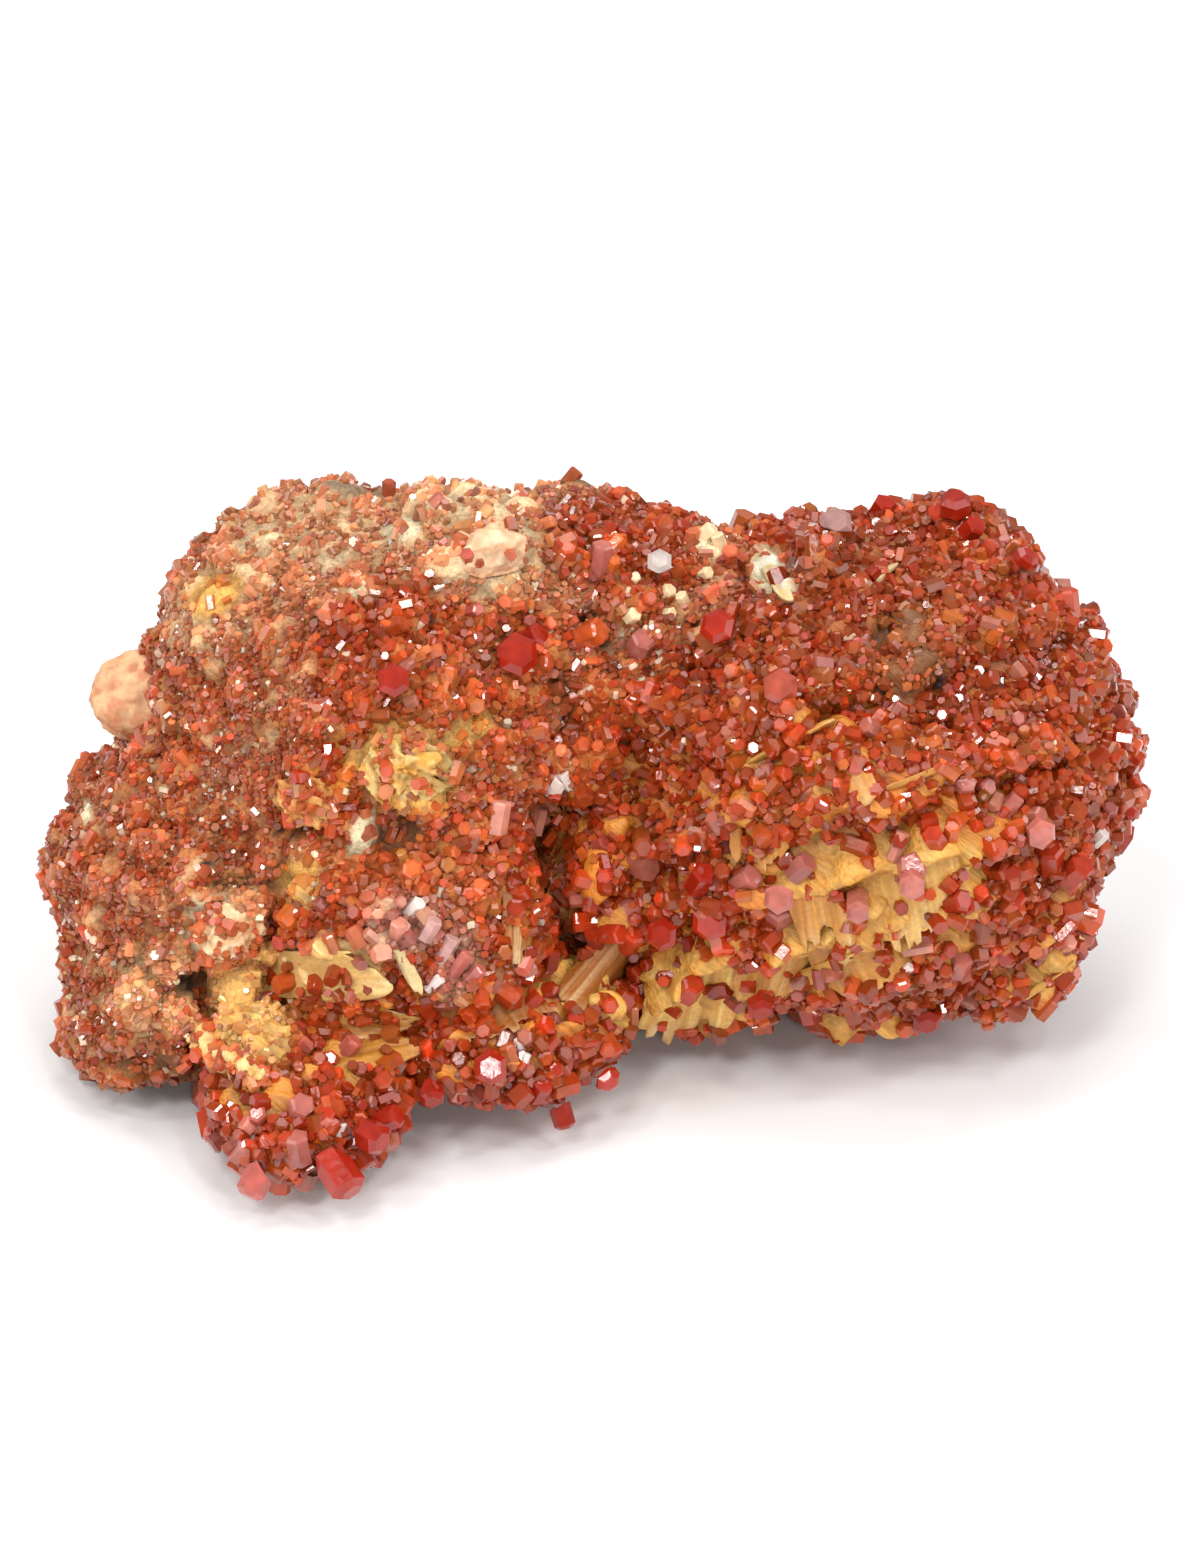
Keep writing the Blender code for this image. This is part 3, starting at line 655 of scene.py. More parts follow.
# ---------------------------------------------------------------- barite
# Sheaves of barite: the ends of the line they grow from and of the line their tips reach, in pixels, how
# ragged they are, how high over the surface they stand at the root, middle and tip, in mm, and their colour.
# The first ones stand for CAD blades.
HONEY, STRAW, IVORY, UMBER = (210, 142, 58), (224, 170, 84), (234, 208, 152), (172, 104, 40)
WHEAT, SAND = (230, 174, 84), (236, 190, 112)
SHEAVES = {
    "fan_left": ((782, 842), (846, 836), (790, 936), (878, 952), 0.8, (-0.3, 0.9, 0.8), HONEY),
    "fan_right": ((842, 850), (974, 820), (868, 958), (980, 872), 1.2, (-0.3, 0.9, 0.8), STRAW),
    "foot_of_dome": ((688, 922), (752, 956), (640, 1040), (742, 1020), 0.9, (-0.2, 0.9, 0.7), WHEAT),
    "diagonal": ((614, 918), (648, 946), (544, 1000), (588, 1018), 0.6, (-0.1, 0.9, 1.0), UMBER),
    "curved": ((774, 978), (782, 994), (852, 948), (846, 974), 0.6, (0.3, 1.4, 1.2), STRAW),
    "under_dome": ((882, 1036), (900, 1050), (940, 1012), (934, 1036), 0.6, (0.2, 1.0, 1.0), STRAW),
    "right": ((1100, 890), (1084, 905), (1088, 950), (1070, 942), 0.6, (0.2, 1.0, 0.8), IVORY),
    "low_right": ((1076, 954), (1070, 966), (1024, 990), (1020, 1000), 0.6, (0.2, 1.0, 0.8), STRAW),
    "dome_a": ((746, 760), (749, 765), (834, 720), (837, 727), 0.9, (0.2, 1.1, 1.0), HONEY),
    "dome_b": ((858, 796), (862, 802), (963, 757), (966, 763), 0.9, (0.2, 1.1, 1.0), HONEY),
    "dome_c": ((728, 812), (740, 810), (730, 866), (746, 866), 0.6, (0.3, 1.4, 1.2), HONEY),
    "dome_top": ((872, 582), (876, 589), (894, 562), (899, 569), 0.6, (0.4, 1.3, 1.3), IVORY),
    "cream_plate": ((748, 548), (768, 542), (778, 606), (797, 594), 0.6, (0.3, 1.2, 1.2), IVORY),
    "ledge_upper": ((262, 996), (276, 952), (384, 1006), (372, 948), 0.9, (0.0, 1.2, 0.9), SAND),
    "hollow": ((318, 1046), (330, 1082), (408, 1030), (420, 1066), 0.8, (-0.2, 1.0, 1.2), HONEY),
    "breast": ((390, 948), (404, 944), (414, 994), (426, 986), 0.6, (0.3, 1.3, 1.4), IVORY),
    "crevice": ((504, 838), (528, 836), (498, 960), (532, 964), 0.7, (0.3, 1.2, 0.9), UMBER),
}
EXTRA_SHEAVES = {
    "by_foot": ((748, 930), (822, 950), (726, 1000), (800, 1004), 0.8, (-0.3, 0.8, 1.0), HONEY),
    "under_fans": ((800, 948), (900, 940), (830, 1000), (920, 976), 0.9, (-0.4, 0.6, 0.8), HONEY),
    "in_crevice": ((560, 846), (604, 862), (536, 930), (584, 944), 0.8, (-0.3, 0.7, 0.8), UMBER),
    "low_middle": ((430, 1006), (560, 972), (450, 1046), (590, 1012), 1.0, (-0.3, 0.7, 0.9), UMBER),
    "dome_low": ((744, 818), (790, 800), (752, 876), (800, 850), 0.9, (-0.3, 0.7, 0.8), HONEY),
    "behind_dome_b": ((826, 748), (850, 738), (846, 802), (884, 796), 0.6, (-0.3, 0.7, 0.9), HONEY),
    "in_hollow": ((282, 1004), (290, 1046), (408, 1000), (412, 1050), 0.6, (-0.4, 0.6, 0.9), HONEY),
}
LUMPS, LUMPY = 0.2, {"ledge_upper": 0.5}  # height of the lumps on a sheaf, in mm


def seen_from_eye(px, py, tree):
    """Where the line of sight through a pixel meets the surface, and its slope there."""
    way = line_of_sight(px, py)
    spot, out, _, _ = tree.ray_cast(Vector(EYE), Vector(way))
    if spot is None:
        near = EYE + way * EYE_DISTANCE
        spot, out, _, _ = tree.find_nearest(Vector(near))
    return np.array(spot), np.array(out)


def settled(a, b, share):
    return np.asarray(a, float) * (1 - share) + np.asarray(b, float) * share


CONTROLS = 6  # columns across a sheaf where the surface under it is looked up
TOWARD_EYE = 1.5  # how much a sheaf turns its face to the eye
PLATE_PITCH = 0.13  # from one lengthwise row of points of a plate to the next, in mm
PLATE_STEPS = 14
PLATE_THICK, PLATE_SPARE = 0.42, 0.05
PLATE_COVER, PLATE_CRYSTAL, PLATE_TINT = 0.05, 1.0, (174, 62, 26)
ROUND_TIPS = 0.3  # how much shorter the outermost fibres of a sheaf are
STEP_OF_EDGE, STEP_WANDER, STEP_WANDER_SIZE = 0.7, 0.6, 1.5  # steps along a plate's ragged edge, in mm
EDGE_STEPS, EDGE_WAVE, EDGE_WAVE_SIZE = (-0.15, 0.1), 0.3, 2.4
RIDGES = ((0.2, 1.6), (0.14, 0.5), (0.05, 0.2))  # heights and widths of the ridges along a plate
STRIPES = ((0.32, 40, 0.9), (0.26, 80, 0.25))  # strengths, places in the noise and widths of its stripes
STRIPE_HUE = np.array((0.6, 1.1, 1.9))  # dark stripes are more orange than pale ones
STRIPE_LEVEL = -0.06
LUMP_SIZE = 1.4
# Painted shade: plates are darker at the root, where they meet the ground, and lighter towards the tips.
PLATE_ROOT_SHADE, PLATE_LIGHT_TO_TIP, PLATE_BRIGHTEST = 0.74, 0.28, 0.92
# Painted shade: the underside of a plate is darker.
UNDERSIDE_SHADE = 0.6


class Plate(Grown):
    """A finely striped plate of grown-together fibres that fills a sheaf, with a stepped edge at the tips."""

    def __init__(self, name, plan, lumps, tree):
        root_a, root_b, tip_a, tip_b, ragged, stands, colour = plan
        columns = []
        for i in range(CONTROLS):
            share = i / (CONTROLS - 1)
            root, tip = settled(root_a, root_b, share), settled(tip_a, tip_b, share)
            spots, outs = zip(*(seen_from_eye(*settled(root, tip, u), tree) for u in (0, 0.5, 1)))
            out = unit(sum(outs) + TOWARD_EYE * TO_EYE)
            columns.append([*(spot + out * stand for spot, stand in zip(spots, stands)), out])
        columns = np.array(columns)
        for _ in range(2):
            columns[1:-1] = 0.5 * columns[1:-1] + 0.25 * (columns[:-2] + columns[2:])
        wide = max(np.linalg.norm(columns[0, k] - columns[-1, k]) for k in (0, 2))
        count = max(8, round(wide / PLATE_PITCH)) + 1
        across = np.linspace(0, 1, count)
        low = np.minimum((across * (CONTROLS - 1)).astype(int), CONTROLS - 2)
        mix = (across * (CONTROLS - 1) - low)[:, None, None]
        column = columns[low] * (1 - mix) + columns[low + 1] * mix
        seed = RANDOM.uniform(0, 100)
        lane = np.stack((across * wide, np.full(count, seed), np.zeros(count)), 1)
        group = np.floor(lane[:, 0] / STEP_OF_EDGE + STEP_WANDER * rumple(lane, STEP_WANDER_SIZE)).astype(int)
        group -= group.min()
        arch = 1 - np.abs(2 * across - 1) ** 3
        steps = RANDOM.uniform(*EDGE_STEPS, group.max() + 1)[group]
        steps = steps + EDGE_WAVE * rumple(lane, EDGE_WAVE_SIZE)
        reach = 1 - ROUND_TIPS * (1 - arch) + ragged * steps
        rise = sum(high * rumple(lane, size) for high, size in RIDGES)
        stripes = sum(strong * rumple(lane + place, size, 2) for strong, place, size in STRIPES)
        tone = np.exp(np.outer((1.4 - 2 * lumps) * stripes, STRIPE_HUE) + STRIPE_LEVEL)
        pale = step(0.1, 0.5, rumple(lane + 120, 0.6, 2))
        along = np.linspace(0, 1, PLATE_STEPS + 1)
        top, under, colours = [], [], []
        dark, light = linear(colour), linear(IVORY)
        for j in range(count):
            start, middle, end, out = column[j]
            out = unit(out)
            middle = 0.5 * middle + 0.25 * (start + end)
            bend = 2 * middle - (start + end) / 2
            for u in along * reach[j]:
                spot = (1 - u) ** 2 * start + 2 * u * (1 - u) * bend + u * u * end
                lift = rise[j] * (0.3 + 0.7 * u) * arch[j]
                lift = lift + lumps * noise.fractal(Vector(spot) / LUMP_SIZE, 1, 2, 1)
                top.append(spot + out * (lift - PLATE_THICK * (1 - arch[j])))
                under.append(spot - out * (PLATE_THICK + PLATE_SPARE))
                share = 0.35 * pale[j] * u + 0.25 * step(0.85, 1.0, u)
                shade = dark * (1 - share) + light * share
                # Painted shade, darker at the root.
                colours.append(np.clip(shade * (PLATE_ROOT_SHADE + PLATE_LIGHT_TO_TIP * u) * tone[j], 0, PLATE_BRIGHTEST))
        rows = PLATE_STEPS + 1
        size, last = count * rows, (count - 1) * rows
        faces, rim = [], []
        for a in range(0, last, rows):
            for i in range(a, a + PLATE_STEPS):
                face = (i, i + 1, i + 1 + rows, i + rows)
                faces += [face, tuple(size + k for k in reversed(face))]
            rim += [(a, a + rows), (a + rows + PLATE_STEPS, a + PLATE_STEPS)]
        for i in range(PLATE_STEPS):
            rim += [(i + 1, i), (last + i, last + i + 1)]
        sides = [(a, b, size + b, size + a) for a, b in rim]
        self.thing = mesh_object(name, top + under, faces + sides)
        for face in self.thing.data.polygons[len(faces):]:
            face.use_smooth = False
        # Painted shade on the undersides.
        paint(self.thing.data, np.array(colours + [c * UNDERSIDE_SHADE for c in colours]))
        self.points, self.out = places(self.thing.data), slopes(self.thing.data)
        self.grow_evenly(np.repeat((PLATE_COVER, 0), size), PLATE_CRYSTAL, PLATE_TINT)


# ---------------------------------------------------------------- materials
# Fineness of the grains in bumps per metre, and depths of their bumps in metres.
VEINS, HAZE, HAZE_BUMP, HAZE_DEPTH = 900, 2600, 0.1, 0.00006
SAND_GRAIN, SAND_DEPTH = 2600, 0.0004
SILK_GRAIN, SILK_BUMP, SILK_DEPTH = 2600, 0.6, 0.0005
FLOW_STRETCH = 0.09  # share of its fineness that the silk keeps along the fibres
VANADINITE_IOR = 1.57


def material(name):
    made = bpy.data.materials.new(name)
    made.use_nodes = True
    return made, made.node_tree, made.node_tree.nodes["Principled BSDF"]


def put(node, **values):
    """Sets inputs by name, with _ for a space."""
    for name, value in values.items():
        node.inputs[name.replace("_", " ")].default_value = value


def link(tree, start, out, end, into):
    tree.links.new(start.outputs[out], end.inputs[into])


def grain(tree, scale, detail=2.0, rough=0.5, turned=None):
    """Noise in the object's own metres, or as turned."""
    spot = tree.nodes.new("ShaderNodeTexCoord")
    made = tree.nodes.new("ShaderNodeTexNoise")
    put(made, Scale=scale, Detail=detail, Roughness=rough)
    link(tree, spot, "Object", turned or made, "Vector")
    if turned:
        link(tree, turned, "Vector", made, "Vector")
    return made


def spread(tree, noise_node, between, results):
    """Takes the noise from one pair of limits to another."""
    made = tree.nodes.new("ShaderNodeMapRange")
    put(made, From_Min=between[0], From_Max=between[1], To_Min=results[0], To_Max=results[1])
    link(tree, noise_node, "Fac", made, "Value")
    return made


def tinted(tree, shader, noise_node, between, factors):
    """The surface's own tones, times a factor that follows the noise."""
    tones = tree.nodes.new("ShaderNodeAttribute")
    tones.attribute_name = "tone"
    made = tree.nodes.new("ShaderNodeVectorMath")
    made.operation = "SCALE"
    link(tree, tones, "Color", made, "Vector")
    link(tree, spread(tree, noise_node, between, factors), "Result", made, "Scale")
    link(tree, made, "Vector", shader, "Base Color")


def roughened(tree, shader, noise_node, between, limits, strength, distance):
    """Roughness and bumps that follow the noise."""
    link(tree, spread(tree, noise_node, between, limits), "Result", shader, "Roughness")
    made = tree.nodes.new("ShaderNodeBump")
    put(made, Strength=strength, Distance=distance)
    link(tree, noise_node, "Fac", made, "Height")
    link(tree, made, "Normal", shader, "Normal")


def vanadinite(name, rough):
    """Glossy crystal faces with faint veins and haze."""
    made, tree, shader = material(name)
    tinted(tree, shader, grain(tree, VEINS), (0.3, 0.7), (0.8, 1.15))
    roughened(tree, shader, grain(tree, HAZE), (0.35, 0.7), (rough, rough + 0.08), HAZE_BUMP, HAZE_DEPTH)
    put(shader, IOR=VANADINITE_IOR)
    return made


def earth(name, rough, bump, contrast):
    """Grainy rock, calcite or crumbly barite."""
    made, tree, shader = material(name)
    sand = grain(tree, SAND_GRAIN, 5.0, 0.7)
    tinted(tree, shader, sand, (0.34, 0.66), (0.93 - contrast, 0.93 + contrast))
    roughened(tree, shader, sand, (0.3, 0.7), (rough - 0.1, rough + 0.1), bump, SAND_DEPTH)
    return made


def fibrous(name, rough):
    """Barite: silky grain drawn out along the fibres."""
    made, tree, shader = material(name)
    turned = tree.nodes.new("ShaderNodeMapping")
    turned.vector_type = "TEXTURE"
    put(turned, Rotation=Vector(FLOW).to_track_quat("X", "Z").to_euler(), Scale=(1 / FLOW_STRETCH, 1, 1))
    silk = grain(tree, SILK_GRAIN, 3.0, 0.5, turned)
    tinted(tree, shader, silk, (0.3, 0.7), (0.74, 1.2))
    roughened(tree, shader, silk, (0.3, 0.7), (rough - 0.1, rough + 0.12), SILK_BUMP, SILK_DEPTH)
    return made


def dress(thing, made):
    thing.data.materials.clear()
    thing.data.materials.append(made)


# ---------------------------------------------------------------- nodules and blocks
# Sizes and heights of their bumps by turns, in mm, how far they sink in, how much the small crystals cover,
# how long their bumps are drawn, and their two colours.
NODULES = {
    "nodule_tan": ((3.0, 0.35, 0.9, 0.16, 0.35, 0.06), -0.1, 0.0, 1.0, (226, 176, 130), (208, 138, 96)),
    "calcite_patch": ((2.6, 0.5, 1.0, 0.2, 0.4, 0.08), -0.6, 0.05, 1.0, (220, 172, 130), (230, 196, 158)),
    "nodule_cream": ((1.6, 0.5, 0.7, 0.3, 0.35, 0.15), -0.3, 0.3, 1.0, (238, 208, 164), (222, 168, 116)),
    "barite_block_yellow": ((2.4, 1.2, 0.8, 0.7, 0.4, 0.3), -1.1, 0.14, 1.6, (212, 154, 66), (228, 196, 126)),
    "barite_block_tan": ((1.5, 1.1, 0.6, 0.5), -0.8, 0.25, 1.6, (214, 156, 88), (190, 122, 54)),
    "barite_blade_ledge_lower": (
        (2.2, 0.9, 0.8, 0.6, 0.35, 0.25), 0.0, 0.3, 1.4, (220, 158, 74), (230, 196, 132),
    ),
}
WAY_OF_BLOCKS = np.array((0.6, -0.3, -0.74))
NODULE_PITCH, NODULE_RELAX = 0.24, 14
MOTTLE_SIZE, MOTTLE_EDGE = 1.1, (-0.35, 0.35)
# Painted shade on the nodules: darker where their bumps are low, lighter on their tops.
NODULE_SHADE, SHADE_OF_HEIGHT, NODULE_SHADE_LIMITS = 1.02, 0.5, (0.35, 1.2)
NODULE_CRYSTAL, NODULE_TINT = 0.75, (196, 96, 56)


class Nodule(Grown):
    """A nodule or a crumbly block set in the crust."""

    def __init__(self, name):
        bumps, sink, cover, drawn, colour, other = NODULES[name]
        self.thing = fine_copy(f"{name}_surface", name, NODULE_PITCH, NODULE_RELAX)
        points, out = places(self.thing.data), slopes(self.thing.data)
        height = np.full(len(points), float(sink))
        for size, rise in zip(bumps[::2], bumps[1::2]):
            height += rise * streaks(points, WAY_OF_BLOCKS, size, size * drawn)
        points = points + out * height[:, None]
        place_all(self.thing.data, points)
        mottle = streaks(points + 9, WAY_OF_BLOCKS, MOTTLE_SIZE, MOTTLE_SIZE * drawn)
        mix = step(*MOTTLE_EDGE, mottle)[:, None]
        # Painted shade in the low places.
        shade = np.clip(NODULE_SHADE + SHADE_OF_HEIGHT * (height - sink), *NODULE_SHADE_LIMITS)[:, None]
        paint(self.thing.data, (linear(colour) * mix + linear(other) * (1 - mix)) * shade)
        self.points, self.out = points, slopes(self.thing.data)
        self.grow_evenly(cover, NODULE_CRYSTAL, NODULE_TINT)


# ---------------------------------------------------------------- single crystals
# Crystals that stand out: place, width and length in pixels, the way they point in the picture in
# degrees from the right, how much they point at the eye, and their colour.
# The mauve, rose and lilac colours are painted sheen, red crystals as pale as faces that mirror white light;
# the white one is a painted glint.
RED, DEEP, ORANGE, MAUVE_SHEEN = (176, 52, 22), (156, 34, 14), (194, 80, 32), (176, 98, 86)
ROSE_SHEEN, WHITE_GLINT, CREAM, LILAC_SHEEN = (204, 132, 112), (236, 220, 210), (234, 206, 160), (194, 146, 138)
SINGLES = (
    (600, 562, 22, 30, 80, 0.5, MAUVE_SHEEN), (640, 646, 26, 22, 60, 0.8, MAUVE_SHEEN),
    (588, 635, 28, 26, 20, 0.6, ORANGE), (704, 536, 17, 20, 40, 0.4, CREAM),
    (720, 545, 15, 18, 110, 0.4, CREAM), (703, 574, 14, 14, 10, 0.7, CREAM),
    (665, 595, 16, 16, 45, 0.6, CREAM), (684, 601, 13, 14, 120, 0.6, CREAM),
    (668, 613, 12, 12, 0, 0.8, CREAM), (632, 616, 15, 12, 30, 0.8, CREAM),
    (634, 581, 12, 12, 70, 0.8, CREAM), (530, 640, 26, 24, 30, 0.6, DEEP),
    (498, 818, 22, 26, 80, 0.3, ROSE_SHEEN), (520, 815, 19, 24, 84, 0.3, ROSE_SHEEN),
    (538, 822, 16, 22, 76, 0.3, ROSE_SHEEN), (556, 788, 16, 18, 60, 0.5, WHITE_GLINT),
    (567, 781, 13, 15, 120, 0.5, WHITE_GLINT), (548, 778, 10, 12, 20, 0.5, ROSE_SHEEN),
    (600, 908, 24, 22, 20, 0.6, MAUVE_SHEEN), (612, 934, 22, 20, 0, 0.7, RED),
    (780, 914, 30, 26, 100, 0.9, MAUVE_SHEEN), (858, 925, 14, 14, 60, 0.6, ORANGE),
    (800, 868, 24, 20, 40, 0.6, MAUVE_SHEEN), (910, 870, 28, 24, 60, 0.9, MAUVE_SHEEN),
    (936, 840, 22, 20, 130, 0.8, RED), (897, 847, 15, 24, 70, 0.3, ROSE_SHEEN),
    (963, 786, 22, 20, 60, 0.9, MAUVE_SHEEN), (981, 788, 20, 20, 10, 0.8, MAUVE_SHEEN),
    (1007, 809, 16, 26, 50, 0.3, MAUVE_SHEEN), (1050, 858, 30, 26, 100, 0.8, RED),
    (1074, 872, 28, 26, 40, 0.7, RED), (1098, 838, 15, 15, 45, 0.5, WHITE_GLINT),
    (1126, 797, 9, 24, 20, 0.1, ROSE_SHEEN), (1141, 791, 18, 18, 0, 0.6, ORANGE),
    (1107, 813, 17, 17, 60, 0.8, MAUVE_SHEEN), (1011, 903, 24, 22, 60, 0.8, RED),
    (954, 903, 24, 24, 20, 0.8, RED), (917, 948, 15, 25, 10, 0.3, ROSE_SHEEN),
    (907, 969, 10, 9, 40, 0.6, WHITE_GLINT), (960, 966, 22, 20, 80, 0.8, MAUVE_SHEEN),
    (1064, 945, 18, 17, 40, 0.7, ROSE_SHEEN), (299, 1111, 26, 24, 60, 0.8, MAUVE_SHEEN),
    (299, 1149, 24, 26, 100, 0.6, MAUVE_SHEEN), (243, 1149, 24, 24, 40, 0.7, MAUVE_SHEEN),
    (340, 1130, 10, 12, 70, 0.4, WHITE_GLINT), (384, 1120, 24, 26, 20, 0.5, DEEP),
    (461, 1088, 20, 22, 60, 0.5, ROSE_SHEEN), (520, 1046, 8, 13, 110, 0.3, WHITE_GLINT),
    (525, 1061, 8, 12, 70, 0.3, WHITE_GLINT), (540, 1090, 22, 22, 60, 0.8, DEEP),
    (785, 698, 8, 13, 40, 0.3, WHITE_GLINT), (797, 688, 8, 12, 100, 0.3, WHITE_GLINT),
    (942, 520, 26, 24, 120, 0.7, RED), (968, 532, 24, 24, 40, 0.7, DEEP),
    (880, 512, 24, 24, 60, 0.7, DEEP), (1010, 572, 22, 22, 60, 0.8, RED),
    (434, 984, 12, 16, 40, 0.4, WHITE_GLINT), (414, 908, 16, 16, 40, 0.6, WHITE_GLINT),
    (398, 930, 18, 18, 80, 0.7, ROSE_SHEEN), (430, 930, 16, 20, 60, 0.5, LILAC_SHEEN),
    (446, 950, 17, 24, 60, 0.4, LILAC_SHEEN), (458, 966, 16, 26, 52, 0.4, MAUVE_SHEEN),
    (472, 978, 15, 22, 46, 0.4, MAUVE_SHEEN), (630, 940, 24, 22, 60, 0.8, RED),
    (700, 880, 26, 24, 60, 0.8, DEEP), (745, 880, 24, 24, 30, 0.8, MAUVE_SHEEN),
    (690, 990, 24, 22, 60, 0.8, RED), (636, 1018, 20, 20, 30, 0.8, DEEP),
)
SINGLES_SUNK, SINGLES_CHAMFER, SINGLES_LONGER = 0.45, 0.12, 1.25
LIFT_OF_LYING = 0.3  # how far a crystal that lies flat is lifted, as a share of its width
SINGLES_SPREAD, BIG_SPREAD = 0.1, 0.12  # how much their brightness varies
# Painted shade: their roots are darker.
SINGLES_ROOT_SHADE = 0.8  # brightness of their roots

# The big crystals that have nodes of their own and aren't deep red. Their mauve, lilac and pink tones are
# painted sheen, and the near-white of vanadinite_14 is a painted glint.
CRYSTAL_TONES = {f"vanadinite_{name}": MAUVE_SHEEN for name in ("08", "10", "12", "23", "bare_03", "bare_04")} | {
    "vanadinite_01": (190, 96, 84),
    "vanadinite_13": LILAC_SHEEN,
    "vanadinite_14": (206, 190, 182),
    "vanadinite_22": (172, 76, 56),
}


def singles(tree):
    """The crystals that stand out, on the surface that the camera sees at their places."""
    grown = Crystals()
    for px, py, wide, long, turn, toward, colour in SINGLES:
        spot, _ = seen_from_eye(px, py, tree)
        turn = math.radians(turn)
        flat = RIGHT * math.cos(turn) + UP * math.sin(turn)
        axis = flat * math.sqrt(1 - toward * toward) + TO_EYE * toward
        width, length = wide / PIXELS_PER_MM, long / PIXELS_PER_MM * SINGLES_LONGER
        spot = spot + TO_EYE * width * LIFT_OF_LYING * (1 - toward)
        tip = linear(colour) * math.exp(SINGLES_SPREAD * RANDOM.standard_normal())
        grown.add(spot, axis, width, length, tip, tip * SINGLES_ROOT_SHADE, SINGLES_SUNK, SINGLES_CHAMFER)
    return grown.build("vanadinite_singles", True)


# ---------------------------------------------------------------- the whole specimen
def carry(thing, looks, slot, *nodes):
    """Gives a piece its looks, sets it on the root body, and hides the CAD nodes that it stands for."""
    dress(thing, looks)
    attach(thing, "root")
    if nodes:
        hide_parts(*nodes)


def tree_of(things):
    """All the things' surfaces, to look up what a line of sight meets."""
    points, faces = [], []
    for thing in things:
        start = len(points)
        points += places(thing.data).tolist()
        faces += [tuple(start + i for i in p.vertices) for p in thing.data.polygons]
    return BVHTree.FromPolygons(points, faces)


skins = {body: Skin(body) for body in SKINS}
rock_looks = earth("rock_grain", 0.8, 0.5, 0.38)
barite_looks = fibrous("barite_silk", 0.45)
plate_looks = earth("barite_plate", 0.42, 0.2, 0.16)
calcite_looks = earth("calcite_grain", 0.6, 0.3, 0.12)
small_looks = vanadinite("vanadinite_small", 0.1)
large_looks = vanadinite("vanadinite_large", 0.07)

surfaces = [skin.thing for skin in skins.values()]
ground_tree = tree_of(surfaces)

for body, skin in skins.items():
    carry(skin.thing, rock_looks if body == "rock" else barite_looks, skin.slot, skin.node)
    for crust in druse(skin):
        carry(crust, large_looks if "large" in crust.name else small_looks, "vanadinite", f"druse_{body}")

speckles = Crystals()


def lay_plate(name, plan, lumps, *nodes):
    plate = Plate(name, plan, lumps, ground_tree)
    carry(plate.thing, plate_looks, "barite", *nodes)
    surfaces.append(plate.thing)
    scatter(plate, speckles, speckles)


for name, plan in SHEAVES.items():
    lay_plate(f"barite_blade_{name}_striped", plan, LUMPY.get(name, LUMPS), f"barite_blade_{name}")
for name, plan in EXTRA_SHEAVES.items():
    lay_plate(f"barite_fan_{name}", plan, LUMPS)
for name in NODULES:
    nodule = Nodule(name)
    carry(nodule.thing, calcite_looks, "barite" if name.startswith("barite") else "calcite", name)
    scatter(nodule, speckles, speckles)
carry(speckles.build("vanadinite_on_barite", False), small_looks, "vanadinite")
carry(singles(tree_of(surfaces)), large_looks, "vanadinite")

for name, node in NODES.items():
    if node.hide_render:
        continue
    tone = linear(CRYSTAL_TONES.get(name, DEEP)) * np.exp(BIG_SPREAD * RANDOM.standard_normal())
    paint(node.data, np.tile(tone, (len(node.data.vertices), 1)))
    node.material_slots[0].link = "OBJECT"
    node.material_slots[0].material = large_looks

# ---------------------------------------------------------------- floor, light and camera
FLOOR = 4000  # half its width, in mm
FLOOR_GREY, FLOOR_ROUGH = 0.85, 0.9
WORLD_STRENGTH = 0.38

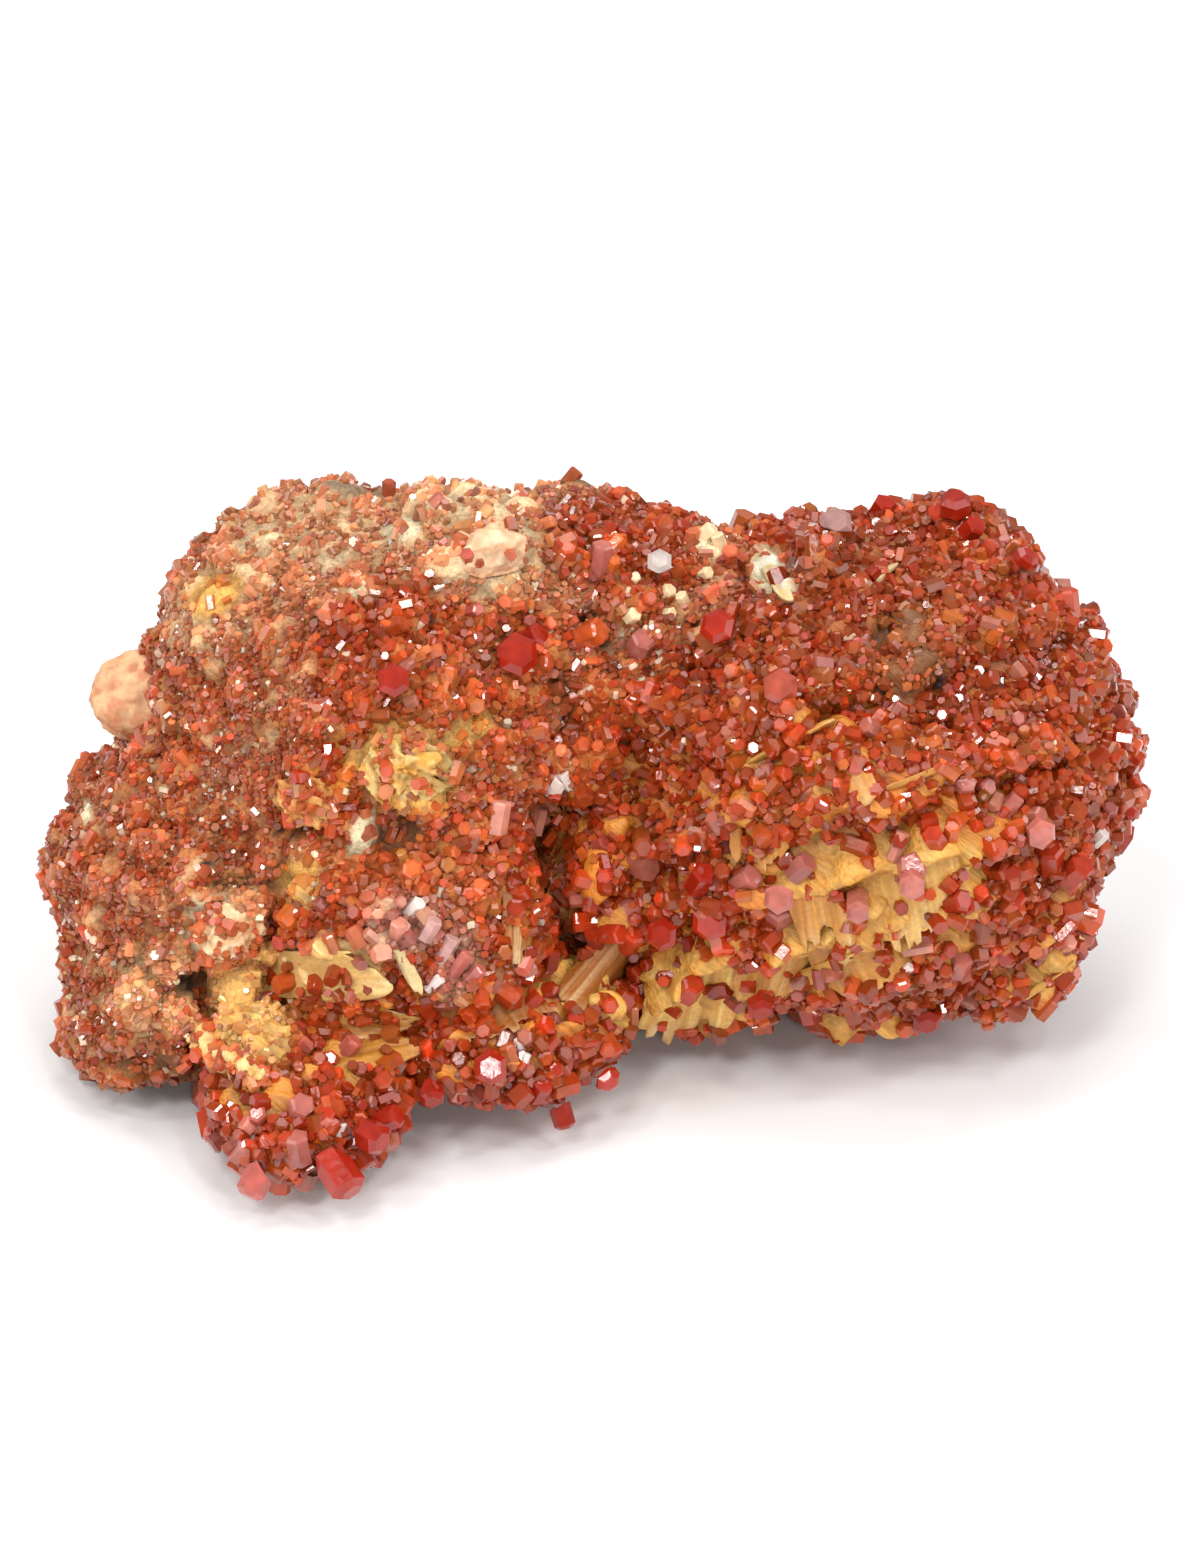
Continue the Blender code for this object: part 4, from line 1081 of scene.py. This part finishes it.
corners = [(-FLOOR, -FLOOR, 0), (FLOOR, -FLOOR, 0), (FLOOR, FLOOR, 0), (-FLOOR, FLOOR, 0)]
floor = mesh_object("floor", corners, [(0, 1, 2, 3)])
pale, _, shader = material("floor")
put(shader, Base_Color=(FLOOR_GREY, FLOOR_GREY, FLOOR_GREY, 1), Roughness=FLOOR_ROUGH)
dress(floor, pale)


def softbox(name, place, size, radiance):
    """A round soft light that looks as bright as the radiance, from any distance."""
    light = bpy.data.lights.new(name, "AREA")
    light.shape = "DISK"
    light.size = size
    light.energy = radiance * math.pi * math.pi * (size / 2) ** 2
    lamp = bpy.data.objects.new(name, light)
    bpy.context.scene.collection.objects.link(lamp)
    lamp.location = place
    lamp.rotation_mode = "QUATERNION"
    lamp.rotation_quaternion = (Vector(AIM * MM) - Vector(place)).to_track_quat("-Z", "Y")


# Places in metres, widths and radiances.
SOFTBOXES = {
    "left": ((-1.1, -0.35, 0.75), 0.9, 2.3),
    "right": ((1.1, -0.2, 0.7), 0.85, 2.1),
    "top": ((0.0, 0.35, 1.25), 1.0, 3.0),
    "key": ((-0.25, -0.75, 0.95), 0.26, 22),
}
# Small bright lights that crystal faces glint in.
SPARKS = (
    (0.5, -0.3, 0.9), (0.1, -1.15, 0.62), (-0.75, -0.7, 0.6), (0.8, -0.75, 0.75), (-0.45, -0.3, 1.15),
    (0.3, -0.6, 1.1), (0.5, -1.1, 0.4),
)
SPARK_WIDTH, SPARK_RADIANCE = 0.14, 32
for name, (place, width, radiance) in SOFTBOXES.items():
    softbox(name, place, width, radiance)
for i, place in enumerate(SPARKS):
    softbox(f"spark_{i + 1}", place, SPARK_WIDTH, SPARK_RADIANCE)

world = bpy.data.worlds.new("studio")
bpy.context.scene.world = world
world.use_nodes = True
put(world.node_tree.nodes["Background"], Color=(1, 1, 1, 1), Strength=WORLD_STRENGTH)

camera = bpy.data.objects.new("camera", bpy.data.cameras.new("camera"))
bpy.context.scene.collection.objects.link(camera)
camera.location = Vector(EYE * MM)
camera.rotation_mode = "QUATERNION"
camera.rotation_quaternion = Vector(-TO_EYE).to_track_quat("-Z", "Y")
camera.data.sensor_width = SENSOR
camera.data.lens = SENSOR * FOCAL_PIXELS / PICTURE[1]
camera.data.clip_start = 0.01
bpy.context.scene.camera = camera
bpy.context.scene.view_settings.view_transform = "Standard"
